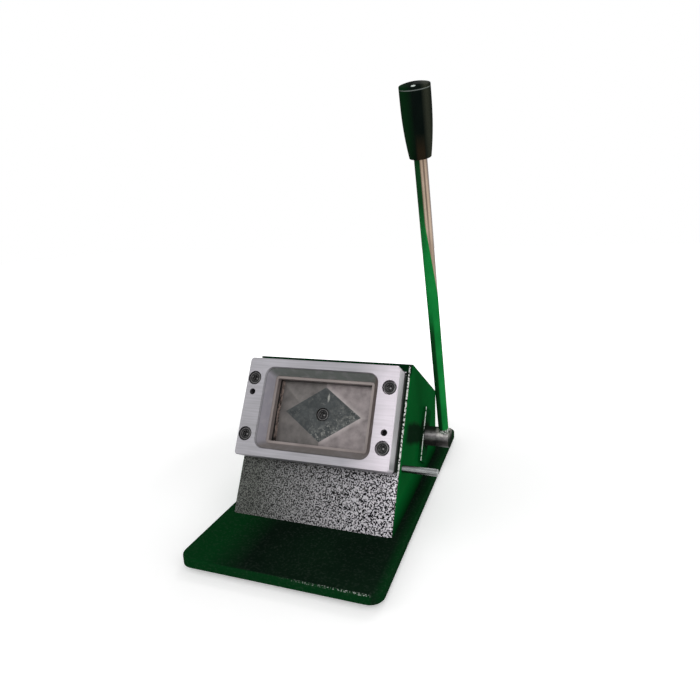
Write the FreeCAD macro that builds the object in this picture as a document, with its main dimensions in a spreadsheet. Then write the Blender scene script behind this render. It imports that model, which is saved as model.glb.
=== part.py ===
"""Hand-lever die cutter for plastic identity cards, as a parametric document.

A punch the size of a card stands in a guide plate on the sloping front of the machine. Pulling the
lever forward turns a cam on the cross shaft, the cam drives the ram and its punch forward on two guide
posts, and the punch pushes the card through the sheet in the slot and into the die plate. Springs on
the posts bring the ram back.

Frame: +Z up, the sloping front looks toward -Y, the lever is on +X. The origin is under the middle of
the machine's outer box, on the surface that the feet stand on. Millimetres and degrees.

Three places are used below, and each piece is drawn flat in one of them:
  upright  axes as above, origin under the middle of the base plate
  slope    X across, Y up the sloping front, Z straight out of it; the origin is the middle of the
           housing's bottom front edge, so "level" is a distance out of the sloping front
  shaft    as slope, with its origin in the axis of the cross shaft
"""

import FreeCAD, Part

import math
import os

import Sketcher

SIZES = {
    # base plate and feet
    "base_thickness": 7.5,
    "base_corner": 11.0,
    "base_edge": 1.2,
    "foot_diameter": 20.0,
    "foot_height": 5.0,
    "foot_inset": 16.0,
    "foot_taper": 1.0,
    "foot_recess_gap": 1.2,
    "foot_screw_diameter": 4.0,
    "foot_screw_head": 7.6,
    "foot_screw_head_height": 2.2,
    "foot_screw_sink": 0.4,
    "foot_screw_hex": 2.5,
    "foot_screw_bite": 6.0,
    # housing: a folded shell and a rear cover
    "body_left_margin": 7.0,
    "body_right_margin": 10.5,
    "body_front_margin": 68.0,
    "body_rear_margin": 65.0,
    "body_depth": 167.0,
    "lower_front": 47.85,
    "upper_front": 7.85,
    "slope_tilt": 30.0,
    "shell_wall": 3.0,
    "shell_bend": 4.0,
    "shell_flange": 13.0,
    "return_depth": 16.0,
    "cover_wall": 1.5,
    "cover_gap": 0.2,
    "cover_screw_diameter": 4.0,
    "cover_screw_head": 7.6,
    "cover_screw_head_height": 2.2,
    "cover_screw_hex": 2.5,
    "cover_screw_low": 14.0,
    "cover_screw_top_margin": 15.0,
    "base_screw_diameter": 5.0,
    "base_screw_head": 9.5,
    "base_screw_head_height": 2.8,
    "base_screw_hex": 3.0,
    "base_screw_front": 30.0,
    "base_screw_rear_margin": 27.0,
    # die plate, guide plate and the sheet slot between them
    "die_border_across": 16.6,
    "die_border_up": 7.15,
    "die_thickness": 16.0,
    "die_corner": 3.0,
    "die_edge": 0.8,
    "guide_thickness": 5.0,
    "guide_corner": 5.0,
    "slot_gap": 1.3,
    "spacer_width": 19.0,
    "card_width": 85.6,
    "card_height": 54.0,
    "card_corner": 0.8,
    "ledge": 2.0,
    "pocket_run": 6.0,
    "pocket_depth": 10.4,
    "pocket_corner": 2.5,
    "screw_rim": 1.1,
    "screw_inset_up": 18.0,
    "screw_diameter": 6.0,
    "screw_head": 10.0,
    "screw_head_height": 6.0,
    "screw_head_sink": 0.6,
    "screw_recess_gap": 1.0,
    "screw_hole_gap": 0.3,
    "screw_end_gap": 1.0,
    "hex_key": 5.0,
    "hex_depth": 3.2,
    "dowel_diameter": 5.2,
    "dowel_gap": 0.05,
    "dowel_offset": 12.2,
    "dowel_sink": 5.0,
    # inner frame
    "backing_thickness": 8.0,
    "backing_side_gap": 0.1,
    "window_gap": 0.6,
    "arm_thickness": 8.0,
    "arm_height": 50.0,
    "arm_screw_pitch": 10.0,
    "arm_screw_diameter": 4.0,
    "arm_screw_head": 7.0,
    "arm_screw_head_height": 3.5,
    "arm_screw_margin": 0.5,
    "arm_screw_hex": 3.0,
    "arm_screw_bite": 14.0,
    # punch and ram
    "punch_gap": 0.05,
    "punch_thickness": 22.0,
    "punch_setback": 0.2,
    "punch_relief": 2.0,
    "punch_diamond_across": 0.79,
    "punch_diamond_up": 0.86,
    "punch_recess_gap": 0.75,
    "ram_neck_inset": 7.0,
    "ram_neck_length": 16.8,
    "ram_side_gap": 0.75,
    "ram_shoulder": 1.0,
    "ram_thickness": 12.0,
    "ram_corner": 5.0,
    "ram_boss_wall": 4.5,
    "ram_boss_length": 10.0,
    "pad_diameter": 27.0,
    "pad_thickness": 4.0,
    "pad_seat": 2.0,
    "pad_gap": 0.05,
    "post_diameter": 10.0,
    "post_shoulder": 1.0,
    "bush_wall": 2.0,
    "bush_gap": 0.04,
    "washer_rim": 4.0,
    "washer_thickness": 3.0,
    "washer_gap": 0.3,
    "washer_side_gap": 0.25,
    "clip_rim": 2.0,
    "clip_thickness": 1.2,
    "groove_depth": 0.7,
    "post_tail": 2.4,
    "spring_wire": 1.6,
    "spring_post_gap": 0.9,
    "spring_side_gap": 0.75,
    "spring_end_gap": 0.2,
    # cross shaft, cam and bearings
    "shaft_diameter": 18.0,
    "shaft_gap": 0.05,
    "shaft_tail": 1.5,
    "shaft_end_margin": 1.5,
    "shaft_chamfer": 0.8,
    "bearing_bush_wall": 2.5,
    "flange_rim": 2.4,
    "flange_end": 3.3,
    "flange_thickness": 3.0,
    "flange_hole_gap": 0.3,
    "flange_screw_pitch": 36.0,
    "flange_screw_diameter": 4.0,
    "flange_screw_head": 7.4,
    "flange_screw_rim": 0.2,
    "flange_screw_hex": 2.5,
    "flange_screw_bite": 5.0,
    "ring_rim": 3.0,
    "ring_thickness": 1.2,
    "ring_gap": 0.2,
    "shaft_collar_diameter": 32.0,
    "shaft_collar_width": 9.0,
    "shaft_collar_gap": 0.3,
    "cam_width": 16.0,
    "cam_hub": 14.0,
    "cam_hub_angle": 60.0,
    "cam_rest_height": 16.0,
    "cam_base_radius": 8.5,
    "cam_gap": 0.2,
    "cam_nose": 3.0,
    "cam_flat": 7.0,
    "key_width": 5.0,
    "key_height": 5.0,
    "key_length": 14.0,
    "key_gap": 0.05,
    # lever and its stop
    "lever_travel": 61.0,
    "lever_standoff": 19.75,
    "lever_lean": 20.7,
    "rod_diameter": 9.0,
    "rod_gap": 0.05,
    "rod_seat": 6.0,
    "rod_end_gap": 0.2,
    "grip_start": 255.7,
    "grip_length": 46.4,
    "grip_bottom_diameter": 14.8,
    "grip_top_diameter": 20.2,
    "grip_taper": 34.0,
    "grip_dome": 1.6,
    "grip_edge": 0.8,
    "grip_bore_depth": 32.0,
    "stop_diameter": 6.0,
    "stop_margin": 6.15,
    "stop_front_gap": 0.5,
    "stop_edge": 0.75,
    "stop_end_margin": 4.5,
    "stop_bite": 9.0,
    "stop_gap": 0.05,
}


class Size:
    """A number and the spreadsheet formula that gives it, so plain arithmetic makes both."""

    def __init__(self, number, formula):
        self.number = number
        self.formula = formula

    @staticmethod
    def of(value):
        return value if isinstance(value, Size) else Size(float(value), repr(float(value)))

    def __add__(self, other):
        other = Size.of(other)
        return Size(self.number + other.number, f"({self.formula} + {other.formula})")

    def __sub__(self, other):
        other = Size.of(other)
        return Size(self.number - other.number, f"({self.formula} - {other.formula})")

    def __mul__(self, other):
        other = Size.of(other)
        return Size(self.number * other.number, f"({self.formula} * {other.formula})")

    def __truediv__(self, other):
        other = Size.of(other)
        return Size(self.number / other.number, f"({self.formula} / {other.formula})")

    def __neg__(self):
        return Size(-self.number, f"(-{self.formula})")

    def __rsub__(self, other):
        return Size.of(other) - self

    def __rtruediv__(self, other):
        return Size.of(other) / self

    __radd__ = __add__
    __rmul__ = __mul__


def sine(angle):
    return Size(math.sin(math.radians(angle.number)), f"sin({angle.formula} * 1deg)")


def cosine(angle):
    return Size(math.cos(math.radians(angle.number)), f"cos({angle.formula} * 1deg)")


def arctangent(rise):
    return Size(math.degrees(math.atan(rise.number)), f"(atan({rise.formula}) / 1deg)")


def square_root(value):
    return Size(math.sqrt(value.number), f"sqrt({value.formula})")


class Sheet:
    """The spreadsheet of driving sizes; each alias is read as an attribute, as a Size."""

    def __init__(self, doc):
        self.cells = doc.addObject("Spreadsheet::Sheet", "Sizes")
        for row, (alias, number) in enumerate(SIZES.items(), start=1):
            self.cells.set(f"A{row}", alias)
            self.cells.set(f"B{row}", str(number))
            self.cells.setAlias(f"B{row}", alias)

    def __getattr__(self, alias):
        return Size(SIZES[alias], f"Sizes.{alias}")


doc = FreeCAD.newDocument("card_die_cutter")
z = Sheet(doc)
doc.recompute()

ZERO = Size.of(0)
NODES = []

# ---- places worked out from the driving sizes

TILT_SINE = sine(z.slope_tilt)
TILT_COSINE = cosine(z.slope_tilt)
SLOPE_TURN = 90 - z.slope_tilt

# the front: card opening, pocket, die plate and the screws that hold it
ledge_width = z.card_width + z.ledge * 2
ledge_height = z.card_height + z.ledge * 2
mouth_width = ledge_width + z.pocket_run * 2
mouth_height = ledge_height + z.pocket_run * 2
die_width = mouth_width + z.die_border_across * 2
die_height = mouth_height + z.die_border_up * 2
screw_recess = z.screw_head + z.screw_recess_gap * 2
screw_recess_depth = z.screw_head_height + z.screw_head_sink
screw_pitch_across = die_width - screw_recess - z.screw_rim * 2
screw_pitch_up = die_height - z.screw_inset_up * 2
window_width = z.card_width + z.window_gap * 2
window_height = z.card_height + z.window_gap * 2
front_length = z.lower_front + die_height + z.upper_front
front_centre = z.lower_front + die_height / 2

# across, from the punch out past its springs and the arms to the sides of the housing
spring_diameter = z.post_diameter + z.spring_post_gap * 2 + z.spring_wire * 2
post_reach = z.card_width / 2 - z.punch_gap + z.spring_side_gap + spring_diameter / 2
washer_diameter = z.post_diameter + z.washer_rim * 2
arm_inner = post_reach + washer_diameter / 2 + z.washer_side_gap
inner_half = arm_inner + z.arm_thickness
arm_screw_reach = inner_half - z.arm_screw_head / 2 - z.arm_screw_margin
body_half = inner_half + z.shell_wall
body_width = body_half * 2
flange_middle = inner_half - z.shell_flange / 2
flange_outer = body_half + z.flange_thickness
ring_inner = -(flange_outer + z.ring_gap)
ring_outer = ring_inner - z.ring_thickness - z.ring_gap / 2
lever_plane = body_half + z.lever_standoff
stop_end = lever_plane + z.rod_diameter / 2 + z.stop_end_margin

# levels of the slope, from the die plate's face back to the cross shaft
guide_face = z.guide_thickness
die_back = guide_face + z.slot_gap
die_face = die_back + z.die_thickness
backing_front = -z.shell_wall
backing_back = backing_front - z.backing_thickness
punch_face = guide_face - z.punch_setback
punch_back = punch_face - z.punch_thickness
ram_front = punch_back - z.ram_neck_length
ram_back = ram_front - z.ram_thickness
boss_back = ram_back - z.ram_boss_length
pad_face = boss_back - z.pad_thickness + z.pad_seat
shaft_depth = z.cam_rest_height - pad_face
washer_front = ram_back - z.washer_gap
clip_front = washer_front - z.washer_thickness
post_end = clip_front - z.clip_thickness - z.post_tail
stop_up = z.lower_front + z.stop_margin
stop_depth = z.shell_wall + z.stop_front_gap + z.stop_diameter / 2

# base, rear and where the machine stands
base_width = body_width + z.body_left_margin + z.body_right_margin
base_depth = z.body_front_margin + z.body_depth + z.body_rear_margin
base_shift = (z.body_right_margin - z.body_left_margin) / 2
base_screw_depths = (z.base_screw_front, z.body_depth - z.base_screw_rear_margin)
foot_recess_diameter = z.foot_screw_head + z.foot_recess_gap * 2
foot_recess_depth = z.foot_screw_head_height + z.foot_screw_sink
# the rear panel's top, over the base plate, where it meets the top that falls with the tilt
rear_height = (front_length - z.body_depth * TILT_SINE) / TILT_COSINE
cover_screw_high = rear_height - z.cover_screw_top_margin
left_extent = body_half + z.body_left_margin
right_extent = lever_plane + z.grip_top_diameter / 2
centre_x = (left_extent - right_extent) / 2
base_top = z.foot_height + z.base_thickness
slope_y = z.body_front_margin - base_depth / 2
shaft_y = slope_y + front_centre * TILT_SINE + shaft_depth * TILT_COSINE
shaft_z = base_top + front_centre * TILT_COSINE - shaft_depth * TILT_SINE

# diameters that follow the posts, the shaft and the wear pad
post_stud = z.post_diameter - z.post_shoulder * 2
ram_bush_diameter = z.post_diameter + z.bush_gap * 2 + z.bush_wall * 2
clip_groove = z.post_diameter - z.groove_depth * 2
ring_groove = z.shaft_diameter - z.groove_depth * 2
bearing_bush_diameter = z.shaft_diameter + z.shaft_gap * 2 + z.bearing_bush_wall * 2
flange_hole = z.shaft_diameter + z.flange_hole_gap * 2
flange_height = z.flange_screw_pitch + z.flange_screw_head + z.flange_end * 2
flange_screw_cone = (z.flange_screw_head - z.flange_screw_diameter) / 2
flange_screw_head_height = flange_screw_cone + z.flange_screw_rim
ram_boss_diameter = z.pad_diameter + z.ram_boss_wall * 2


# ---- helpers for the document


def bind(feature, name, value):
    """Ties one property to its formula."""
    feature.setExpression(name, Size.of(value).formula)


def place(feature, x, y, height, turn=None):
    """Puts a piece at a point, turned about the X direction."""
    angle = turn.number if turn is not None else 0.0
    base = FreeCAD.Vector(x.number, y.number, height.number)
    feature.Placement = FreeCAD.Placement(base, FreeCAD.Rotation(FreeCAD.Vector(1, 0, 0), angle))
    bind(feature, "Placement.Base.x", x)
    bind(feature, "Placement.Base.y", y)
    bind(feature, "Placement.Base.z", height)
    if turn is not None:
        bind(feature, "Placement.Rotation.Angle", turn)


def new_body(name):
    body = doc.addObject("PartDesign::Body", name)
    body.Label = name
    NODES.append(body)
    return body


def upright_body(name):
    body = new_body(name)
    place(body, centre_x + base_shift, ZERO, ZERO)
    return body


def slope_body(name):
    body = new_body(name)
    place(body, centre_x, slope_y, base_top, SLOPE_TURN)
    return body


def shaft_body(name, turn=SLOPE_TURN):
    body = new_body(name)
    place(body, centre_x, shaft_y, shaft_z, turn)
    return body


def plane_of(body, role):
    return next(item for item in body.Origin.OriginFeatures if item.Role == role)


def new_sketch(body, role="XY_Plane", level=ZERO, turn=None):
    """A sketch on one of the body's planes, turned about its own X if asked and then raised to a level."""
    sketch = body.newObject("Sketcher::SketchObject", f"{body.Name}_sketch")
    sketch.AttachmentSupport = [(plane_of(body, role), "")]
    sketch.MapMode = "FlatFace"
    if turn is None:
        bind(sketch, "AttachmentOffset.Base.z", level)
        return sketch
    rotation = FreeCAD.Rotation(FreeCAD.Vector(1, 0, 0), turn.number)
    sketch.AttachmentOffset = FreeCAD.Placement(FreeCAD.Vector(), rotation)
    bind(sketch, "AttachmentOffset.Rotation.Angle", turn)
    bind(sketch, "AttachmentOffset.Base.y", -(sine(turn) * level))
    bind(sketch, "AttachmentOffset.Base.z", cosine(turn) * level)
    return sketch


def lean_sketch(sketch, point, axis, angle):
    """Moves a sketch to a point and leans it about an axis, given by its parts along X and Y."""
    base = FreeCAD.Vector(*[part.number for part in point])
    direction = FreeCAD.Vector(axis[0].number, axis[1].number, 0)
    sketch.AttachmentOffset = FreeCAD.Placement(base, FreeCAD.Rotation(direction, angle.number))
    for name, part in zip("xyz", point):
        bind(sketch, f"AttachmentOffset.Base.{name}", part)
    for name, part in zip("xy", axis):
        bind(sketch, f"AttachmentOffset.Rotation.Axis.{name}", part)
    bind(sketch, "AttachmentOffset.Rotation.Angle", angle)


def tie(sketch, kind, first, second, value):
    """Adds a distance constraint between two sketch points and ties it to its formula."""
    value = Size.of(value)
    index = sketch.addConstraint(Sketcher.Constraint(kind, *first, *second, value.number))
    sketch.setExpression(f"Constraints[{index}]", value.formula)


def fix_point(sketch, point, x, y):
    tie(sketch, "DistanceX", (-1, 1), point, x)
    tie(sketch, "DistanceY", (-1, 1), point, y)


def add_polygon(sketch, points, arcs=None):
    """A closed outline; arcs gives the centre of each side that is an arc, by its first point's number."""
    points = [(Size.of(x), Size.of(y)) for x, y in points]
    corners = [FreeCAD.Vector(x.number, y.number, 0) for x, y in points]
    first = sketch.GeometryCount
    for index, corner in enumerate(corners):
        following = corners[(index + 1) % len(corners)]
        if arcs and index in arcs:
            sketch.addGeometry(arc_about(arcs[index], corner, following), False)
        else:
            sketch.addGeometry(Part.LineSegment(corner, following), False)
    for index in range(len(corners)):
        following = first + (index + 1) % len(corners)
        sketch.addConstraint(Sketcher.Constraint("Coincident", first + index, 2, following, 1))
    for index, (x, y) in enumerate(points):
        fix_point(sketch, (first + index, 1), x, y)
    for index, (x, y) in (arcs or {}).items():
        # the ends are fixed, so one more measure, square to the chord, sets the centre
        chord = corners[(index + 1) % len(corners)] - corners[index]
        kind, value = ("DistanceY", y) if abs(chord.x) > abs(chord.y) else ("DistanceX", x)
        tie(sketch, kind, (-1, 1), (first + index, 3), value)


def arc_about(centre, start, end):
    """The arc from start to end, counterclockwise about a centre."""
    middle = FreeCAD.Vector(centre[0].number, centre[1].number, 0)
    angles = [math.atan2(point.y - middle.y, point.x - middle.x) for point in (start, end)]
    circle = Part.Circle(middle, FreeCAD.Vector(0, 0, 1), middle.distanceToPoint(start))
    return Part.ArcOfCircle(circle, *angles)


def add_rectangle(sketch, width, height, x=ZERO, y=ZERO):
    left = x - width / 2
    right = x + width / 2
    low = y - height / 2
    high = y + height / 2
    add_polygon(sketch, [(left, low), (right, low), (right, high), (left, high)])


def add_circles(sketch, diameter, centres=((ZERO, ZERO),)):
    diameter = Size.of(diameter)
    for x, y in centres:
        x, y = Size.of(x), Size.of(y)
        middle = FreeCAD.Vector(x.number, y.number, 0)
        circle = Part.Circle(middle, FreeCAD.Vector(0, 0, 1), diameter.number / 2)
        index = sketch.addGeometry(circle, False)
        tied = sketch.addConstraint(Sketcher.Constraint("Diameter", index, diameter.number))
        sketch.setExpression(f"Constraints[{tied}]", diameter.formula)
        fix_point(sketch, (index, 3), x, y)


def add_hexagons(sketch, across_flats, centres):
    corner_radius = across_flats / math.sqrt(3)
    for x, y in centres:
        corners = []
        for step in range(6):
            angle = math.radians(60 * step)
            corners.append((x + corner_radius * math.cos(angle), y + corner_radius * math.sin(angle)))
        add_polygon(sketch, corners)


def extrude(body, kind, sketch, length, reverse=False, both_ways=False):
    feature = body.newObject(f"PartDesign::{kind}", f"{body.Name}_{kind.lower()}")
    feature.Profile = sketch
    bind(feature, "Length", length)
    feature.Midplane = both_ways
    feature.Reversed = reverse
    doc.recompute()
    return feature


def pad(body, sketch, length, **options):
    return extrude(body, "Pad", sketch, length, **options)


def pocket(body, sketch, length, **options):
    before = body.Shape.Volume
    feature = extrude(body, "Pocket", sketch, length, **options)
    if body.Shape.Volume > before - 0.01:
        raise RuntimeError(f"{feature.Name} cuts nothing")
    return feature


def revolve(body, sketch, axis="V_Axis"):
    feature = body.newObject("PartDesign::Revolution", f"{body.Name}_revolution")
    feature.Profile = sketch
    feature.ReferenceAxis = (sketch, [axis])
    feature.Angle = 360
    doc.recompute()
    return feature


def dress(body, kind, size_name, value, wanted):
    """Rounds or bevels the edges of the body's last feature for which wanted(edge) is true."""
    base = body.Tip
    names = [f"Edge{n}" for n, edge in enumerate(base.Shape.Edges, start=1) if wanted(edge)]
    if not names:
        raise RuntimeError(f"no edges to dress on {body.Name}")
    feature = body.newObject(f"PartDesign::{kind}", f"{body.Name}_{kind.lower()}")
    feature.Base = (base, names)
    bind(feature, size_name, value)
    doc.recompute()
    return feature


def fillet(body, radius, wanted):
    return dress(body, "Fillet", "Radius", radius, wanted)


def chamfer(body, size, wanted):
    return dress(body, "Chamfer", "Size", size, wanted)


def runs_along(edge, axis):
    """Whether a straight edge runs along one of the body's axes, 0, 1 or 2."""
    if edge.Curve.TypeId != "Part::GeomLine":
        return False
    direction = edge.Curve.Direction
    return abs(abs(direction[axis]) - 1) < 1e-6


def lies_at(edge, axis, value):
    """Whether the whole edge lies in the plane at value on an axis."""
    box = edge.BoundBox
    low = (box.XMin, box.YMin, box.ZMin)[axis]
    high = (box.XMax, box.YMax, box.ZMax)[axis]
    return abs(low - value.number) < 1e-4 and abs(high - value.number) < 1e-4


def four_corners(pitch_x, pitch_y, x=ZERO, y=ZERO):
    return [
        (x + pitch_x / 2 * across, y + pitch_y / 2 * up)
        for across in (-1, 1)
        for up in (-1, 1)
    ]


def upright_point(depth, height):
    """A point of the upright side view, given in the slope's Y and Z."""
    return depth * TILT_SINE + height * TILT_COSINE, height * TILT_SINE - depth * TILT_COSINE


def depth_at(up, depth):
    """The slope's Z of the point that is so far up the slope and so deep behind the front edge."""
    return (up * TILT_SINE - depth) / TILT_COSINE


def front_at(level, height):
    """The slope's Y of the point at a level of the slope and a height over the base plate."""
    return (height - level * TILT_SINE) / TILT_COSINE


# ---- base and feet


def make_base_plate():
    body = upright_body("base_plate")
    outline = new_sketch(body, level=z.foot_height)
    add_rectangle(outline, base_width, base_depth)
    pad(body, outline, z.base_thickness)
    fillet(body, z.base_corner, lambda edge: runs_along(edge, 2))
    fillet(body, z.base_edge, lambda edge: lies_at(edge, 2, base_top))

    feet = new_sketch(body, level=z.foot_height)
    add_circles(feet, z.foot_screw_diameter, foot_places())
    pocket(body, feet, z.foot_screw_bite, reverse=True)

    heads = new_sketch(body, level=z.foot_height)
    add_circles(heads, z.base_screw_head + z.screw_hole_gap * 2, base_screw_places())
    pocket(body, heads, z.base_screw_head_height + z.screw_hole_gap, reverse=True)
    holes = new_sketch(body, level=z.foot_height)
    add_circles(holes, z.base_screw_diameter + z.screw_hole_gap * 2, base_screw_places())
    pocket(body, holes, z.base_thickness, reverse=True)


def foot_places():
    inset = z.foot_inset * 2
    return four_corners(base_width - inset, base_depth - inset)


def base_screw_places():
    return [
        (flange_middle * side - base_shift, slope_y + depth)
        for side in (-1, 1)
        for depth in base_screw_depths
    ]


def make_feet():
    names = ("rear_left", "front_left", "rear_right", "front_right")
    order = (1, 0, 3, 2)
    places = foot_places()
    for name, index in zip(names, order):
        x, y = places[index]
        body = new_body(f"foot_{name}")
        place(body, centre_x + base_shift + x, y, ZERO)
        profile = new_sketch(body, "XZ_Plane")
        rim = z.foot_diameter / 2
        foot = rim - z.foot_taper
        add_polygon(profile, [(ZERO, ZERO), (foot, ZERO), (rim, z.foot_height), (ZERO, z.foot_height)])
        revolve(body, profile)
        recess = new_sketch(body)
        add_circles(recess, foot_recess_diameter)
        pocket(body, recess, foot_recess_depth, reverse=True)
        hole = new_sketch(body)
        add_circles(hole, z.foot_screw_diameter + z.screw_hole_gap * 2)
        pocket(body, hole, z.foot_height, reverse=True)


def make_screws(body, centres, seat, head, head_height, shank, length, hex_key, hex_depth, down=False):
    """Cap screws: heads from the seat level outward, shanks inward, a hexagon socket in each head."""
    heads = new_sketch(body, level=seat)
    add_circles(heads, head, centres)
    pad(body, heads, head_height, reverse=down)
    shanks = new_sketch(body, level=seat)
    add_circles(shanks, shank, centres)
    pad(body, shanks, length, reverse=not down)
    top = seat - head_height if down else seat + head_height
    sockets = new_sketch(body, level=top)
    add_hexagons(sockets, hex_key, centres)
    pocket(body, sockets, hex_depth, reverse=down)


def make_foot_screws():
    body = upright_body("foot_screws")
    make_screws(
        body,
        foot_places(),
        seat=foot_recess_depth,
        head=z.foot_screw_head,
        head_height=z.foot_screw_head_height,
        shank=z.foot_screw_diameter,
        length=z.foot_height + z.foot_screw_bite - foot_recess_depth,
        hex_key=z.foot_screw_hex,
        hex_depth=z.foot_screw_head_height / 2,
        down=True,
    )


def make_base_screws():
    body = upright_body("base_screws")
    make_screws(
        body,
        base_screw_places(),
        seat=z.foot_height + z.base_screw_head_height + z.screw_hole_gap,
        head=z.base_screw_head,
        head_height=z.base_screw_head_height,
        shank=z.base_screw_diameter,
        length=z.base_thickness + z.shell_wall - z.base_screw_head_height - z.screw_hole_gap,
        hex_key=z.base_screw_hex,
        hex_depth=z.base_screw_head_height / 2,
        down=True,
    )


# ---- housing


def housing_outline():
    """The side view of the housing: bottom, rear, top and sloping front."""
    return [
        (ZERO, ZERO),
        upright_point(z.body_depth, ZERO),
        (front_length, depth_at(front_length, z.body_depth)),
        (front_length, ZERO),
    ]


def make_housing_shell():
    body = slope_body("housing_shell")
    side = new_sketch(body, "YZ_Plane")
    add_polygon(side, housing_outline())
    pad(body, side, body_width, both_ways=True)
    half = body_width / 2
    fillet(
        body,
        z.shell_bend,
        lambda edge: lies_at(edge, 2, ZERO) and (runs_along(edge, 1) or lies_at(edge, 1, front_length)),
    )

    # hollow between the side panels, leaving floor, rear and top flanges for now
    wall = z.shell_wall
    flange_back = z.body_depth - z.cover_wall - wall
    flange_top = front_length - z.cover_wall - wall
    hollow = new_sketch(body, "YZ_Plane")
    add_polygon(
        hollow,
        [
            (front_at(-wall, wall), -wall),
            upright_point(flange_back, wall),
            (flange_top, depth_at(flange_top, flange_back)),
            (flange_top, -wall),
        ],
    )
    pocket(body, hollow, (half - wall) * 2, both_ways=True)

    # opening between the flanges, which leaves the return of the front panel at the top
    beyond = front_length + wall
    behind = z.body_depth + wall
    return_level = -z.return_depth
    opening = new_sketch(body, "YZ_Plane")
    add_polygon(
        opening,
        [
            (front_at(-wall, -wall), -wall),
            upright_point(behind, -wall),
            (beyond, depth_at(beyond, behind)),
            (beyond, return_level),
            (front_length - wall, return_level),
            (front_length - wall, -wall),
        ],
    )
    pocket(body, opening, (half - wall - z.shell_flange) * 2, both_ways=True)

    # step that the rear cover lies in
    cover_top = front_length - z.cover_wall
    cover_back = z.body_depth - z.cover_wall
    step = new_sketch(body, "YZ_Plane")
    add_polygon(
        step,
        [
            (cover_top, return_level),
            (cover_top, depth_at(cover_top, cover_back)),
            upright_point(cover_back, -wall),
            upright_point(behind, -wall),
            (beyond, depth_at(beyond, behind)),
            (beyond, return_level),
        ],
    )
    pocket(body, step, (half - wall) * 2, both_ways=True)

    window = new_sketch(body)
    add_rectangle(window, window_width, window_height, ZERO, front_centre)
    pocket(body, window, wall)
    holes = new_sketch(body)
    add_circles(holes, z.screw_diameter + z.screw_hole_gap * 2, die_screw_places())
    pocket(body, holes, wall)
    dowels = new_sketch(body)
    add_circles(dowels, z.dowel_diameter + z.dowel_gap * 2, dowel_places())
    pocket(body, dowels, wall)

    bushes = new_sketch(body, "YZ_Plane")
    add_circles(bushes, bearing_bush_diameter, [(front_centre, -shaft_depth)])
    pocket(body, bushes, body_width, both_ways=True)
    screws = new_sketch(body, "YZ_Plane")
    add_circles(screws, z.flange_screw_diameter + z.screw_hole_gap * 2, flange_screw_places())
    pocket(body, screws, body_width, both_ways=True)
    stop = new_sketch(body, "YZ_Plane", level=half)
    add_circles(stop, z.stop_diameter + z.stop_gap * 2, [(stop_up, -stop_depth)])
    pocket(body, stop, wall)

    feet = new_sketch(body, turn=-SLOPE_TURN)
    places = [(flange_middle * side, depth) for side in (-1, 1) for depth in base_screw_depths]
    add_circles(feet, z.base_screw_diameter, places)
    pocket(body, feet, wall, reverse=True)
    rear = new_sketch(body, level=z.cover_wall - z.body_depth, turn=z.slope_tilt)
    add_circles(rear, z.cover_screw_diameter, cover_screw_places())
    pocket(body, rear, wall + z.cover_wall, reverse=True)


def cover_screw_places():
    return [(flange_middle * side, up) for side in (-1, 1) for up in (z.cover_screw_low, cover_screw_high)]


def die_screw_places():
    return four_corners(screw_pitch_across, screw_pitch_up, ZERO, front_centre)


def dowel_places():
    across = screw_pitch_across / 2
    up = screw_pitch_up / 2 - z.dowel_offset
    return [(-across, front_centre + up), (across, front_centre - up)]


def flange_screw_places():
    return [
        (front_centre + z.flange_screw_pitch / 2 * side, -shaft_depth)
        for side in (-1, 1)
    ]


def make_rear_cover():
    body = slope_body("rear_cover")
    wall = z.cover_wall
    back = z.body_depth
    foot = z.cover_gap
    front = -z.return_depth - z.cover_gap
    profile = new_sketch(body, "YZ_Plane")
    add_polygon(
        profile,
        [
            (front_length, front),
            (front_length, depth_at(front_length, back)),
            upright_point(back, foot),
            upright_point(back - wall, foot),
            (front_length - wall, depth_at(front_length - wall, back - wall)),
            (front_length - wall, front),
        ],
    )
    pad(body, profile, (inner_half - z.cover_gap) * 2, both_ways=True)
    holes = new_sketch(body, level=-z.body_depth, turn=z.slope_tilt)
    add_circles(holes, z.cover_screw_diameter + z.screw_hole_gap * 2, cover_screw_places())
    pocket(body, holes, wall, reverse=True)


def make_cover_screws():
    body = new_body("cover_screws")
    place(body, centre_x, slope_y + z.body_depth, base_top, Size.of(90))
    make_screws(
        body,
        cover_screw_places(),
        seat=ZERO,
        head=z.cover_screw_head,
        head_height=z.cover_screw_head_height,
        shank=z.cover_screw_diameter,
        length=z.cover_wall + z.shell_wall,
        hex_key=z.cover_screw_hex,
        hex_depth=z.cover_screw_head_height / 2,
        down=True,
    )


# ---- front assembly


def card_corner(edge):
    """Whether an edge is an upright corner of the card opening or of the punch that fills it."""
    off = abs(edge.CenterOfMass.x) - z.card_width.number / 2
    return runs_along(edge, 2) and abs(off) < z.ledge.number / 2


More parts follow.
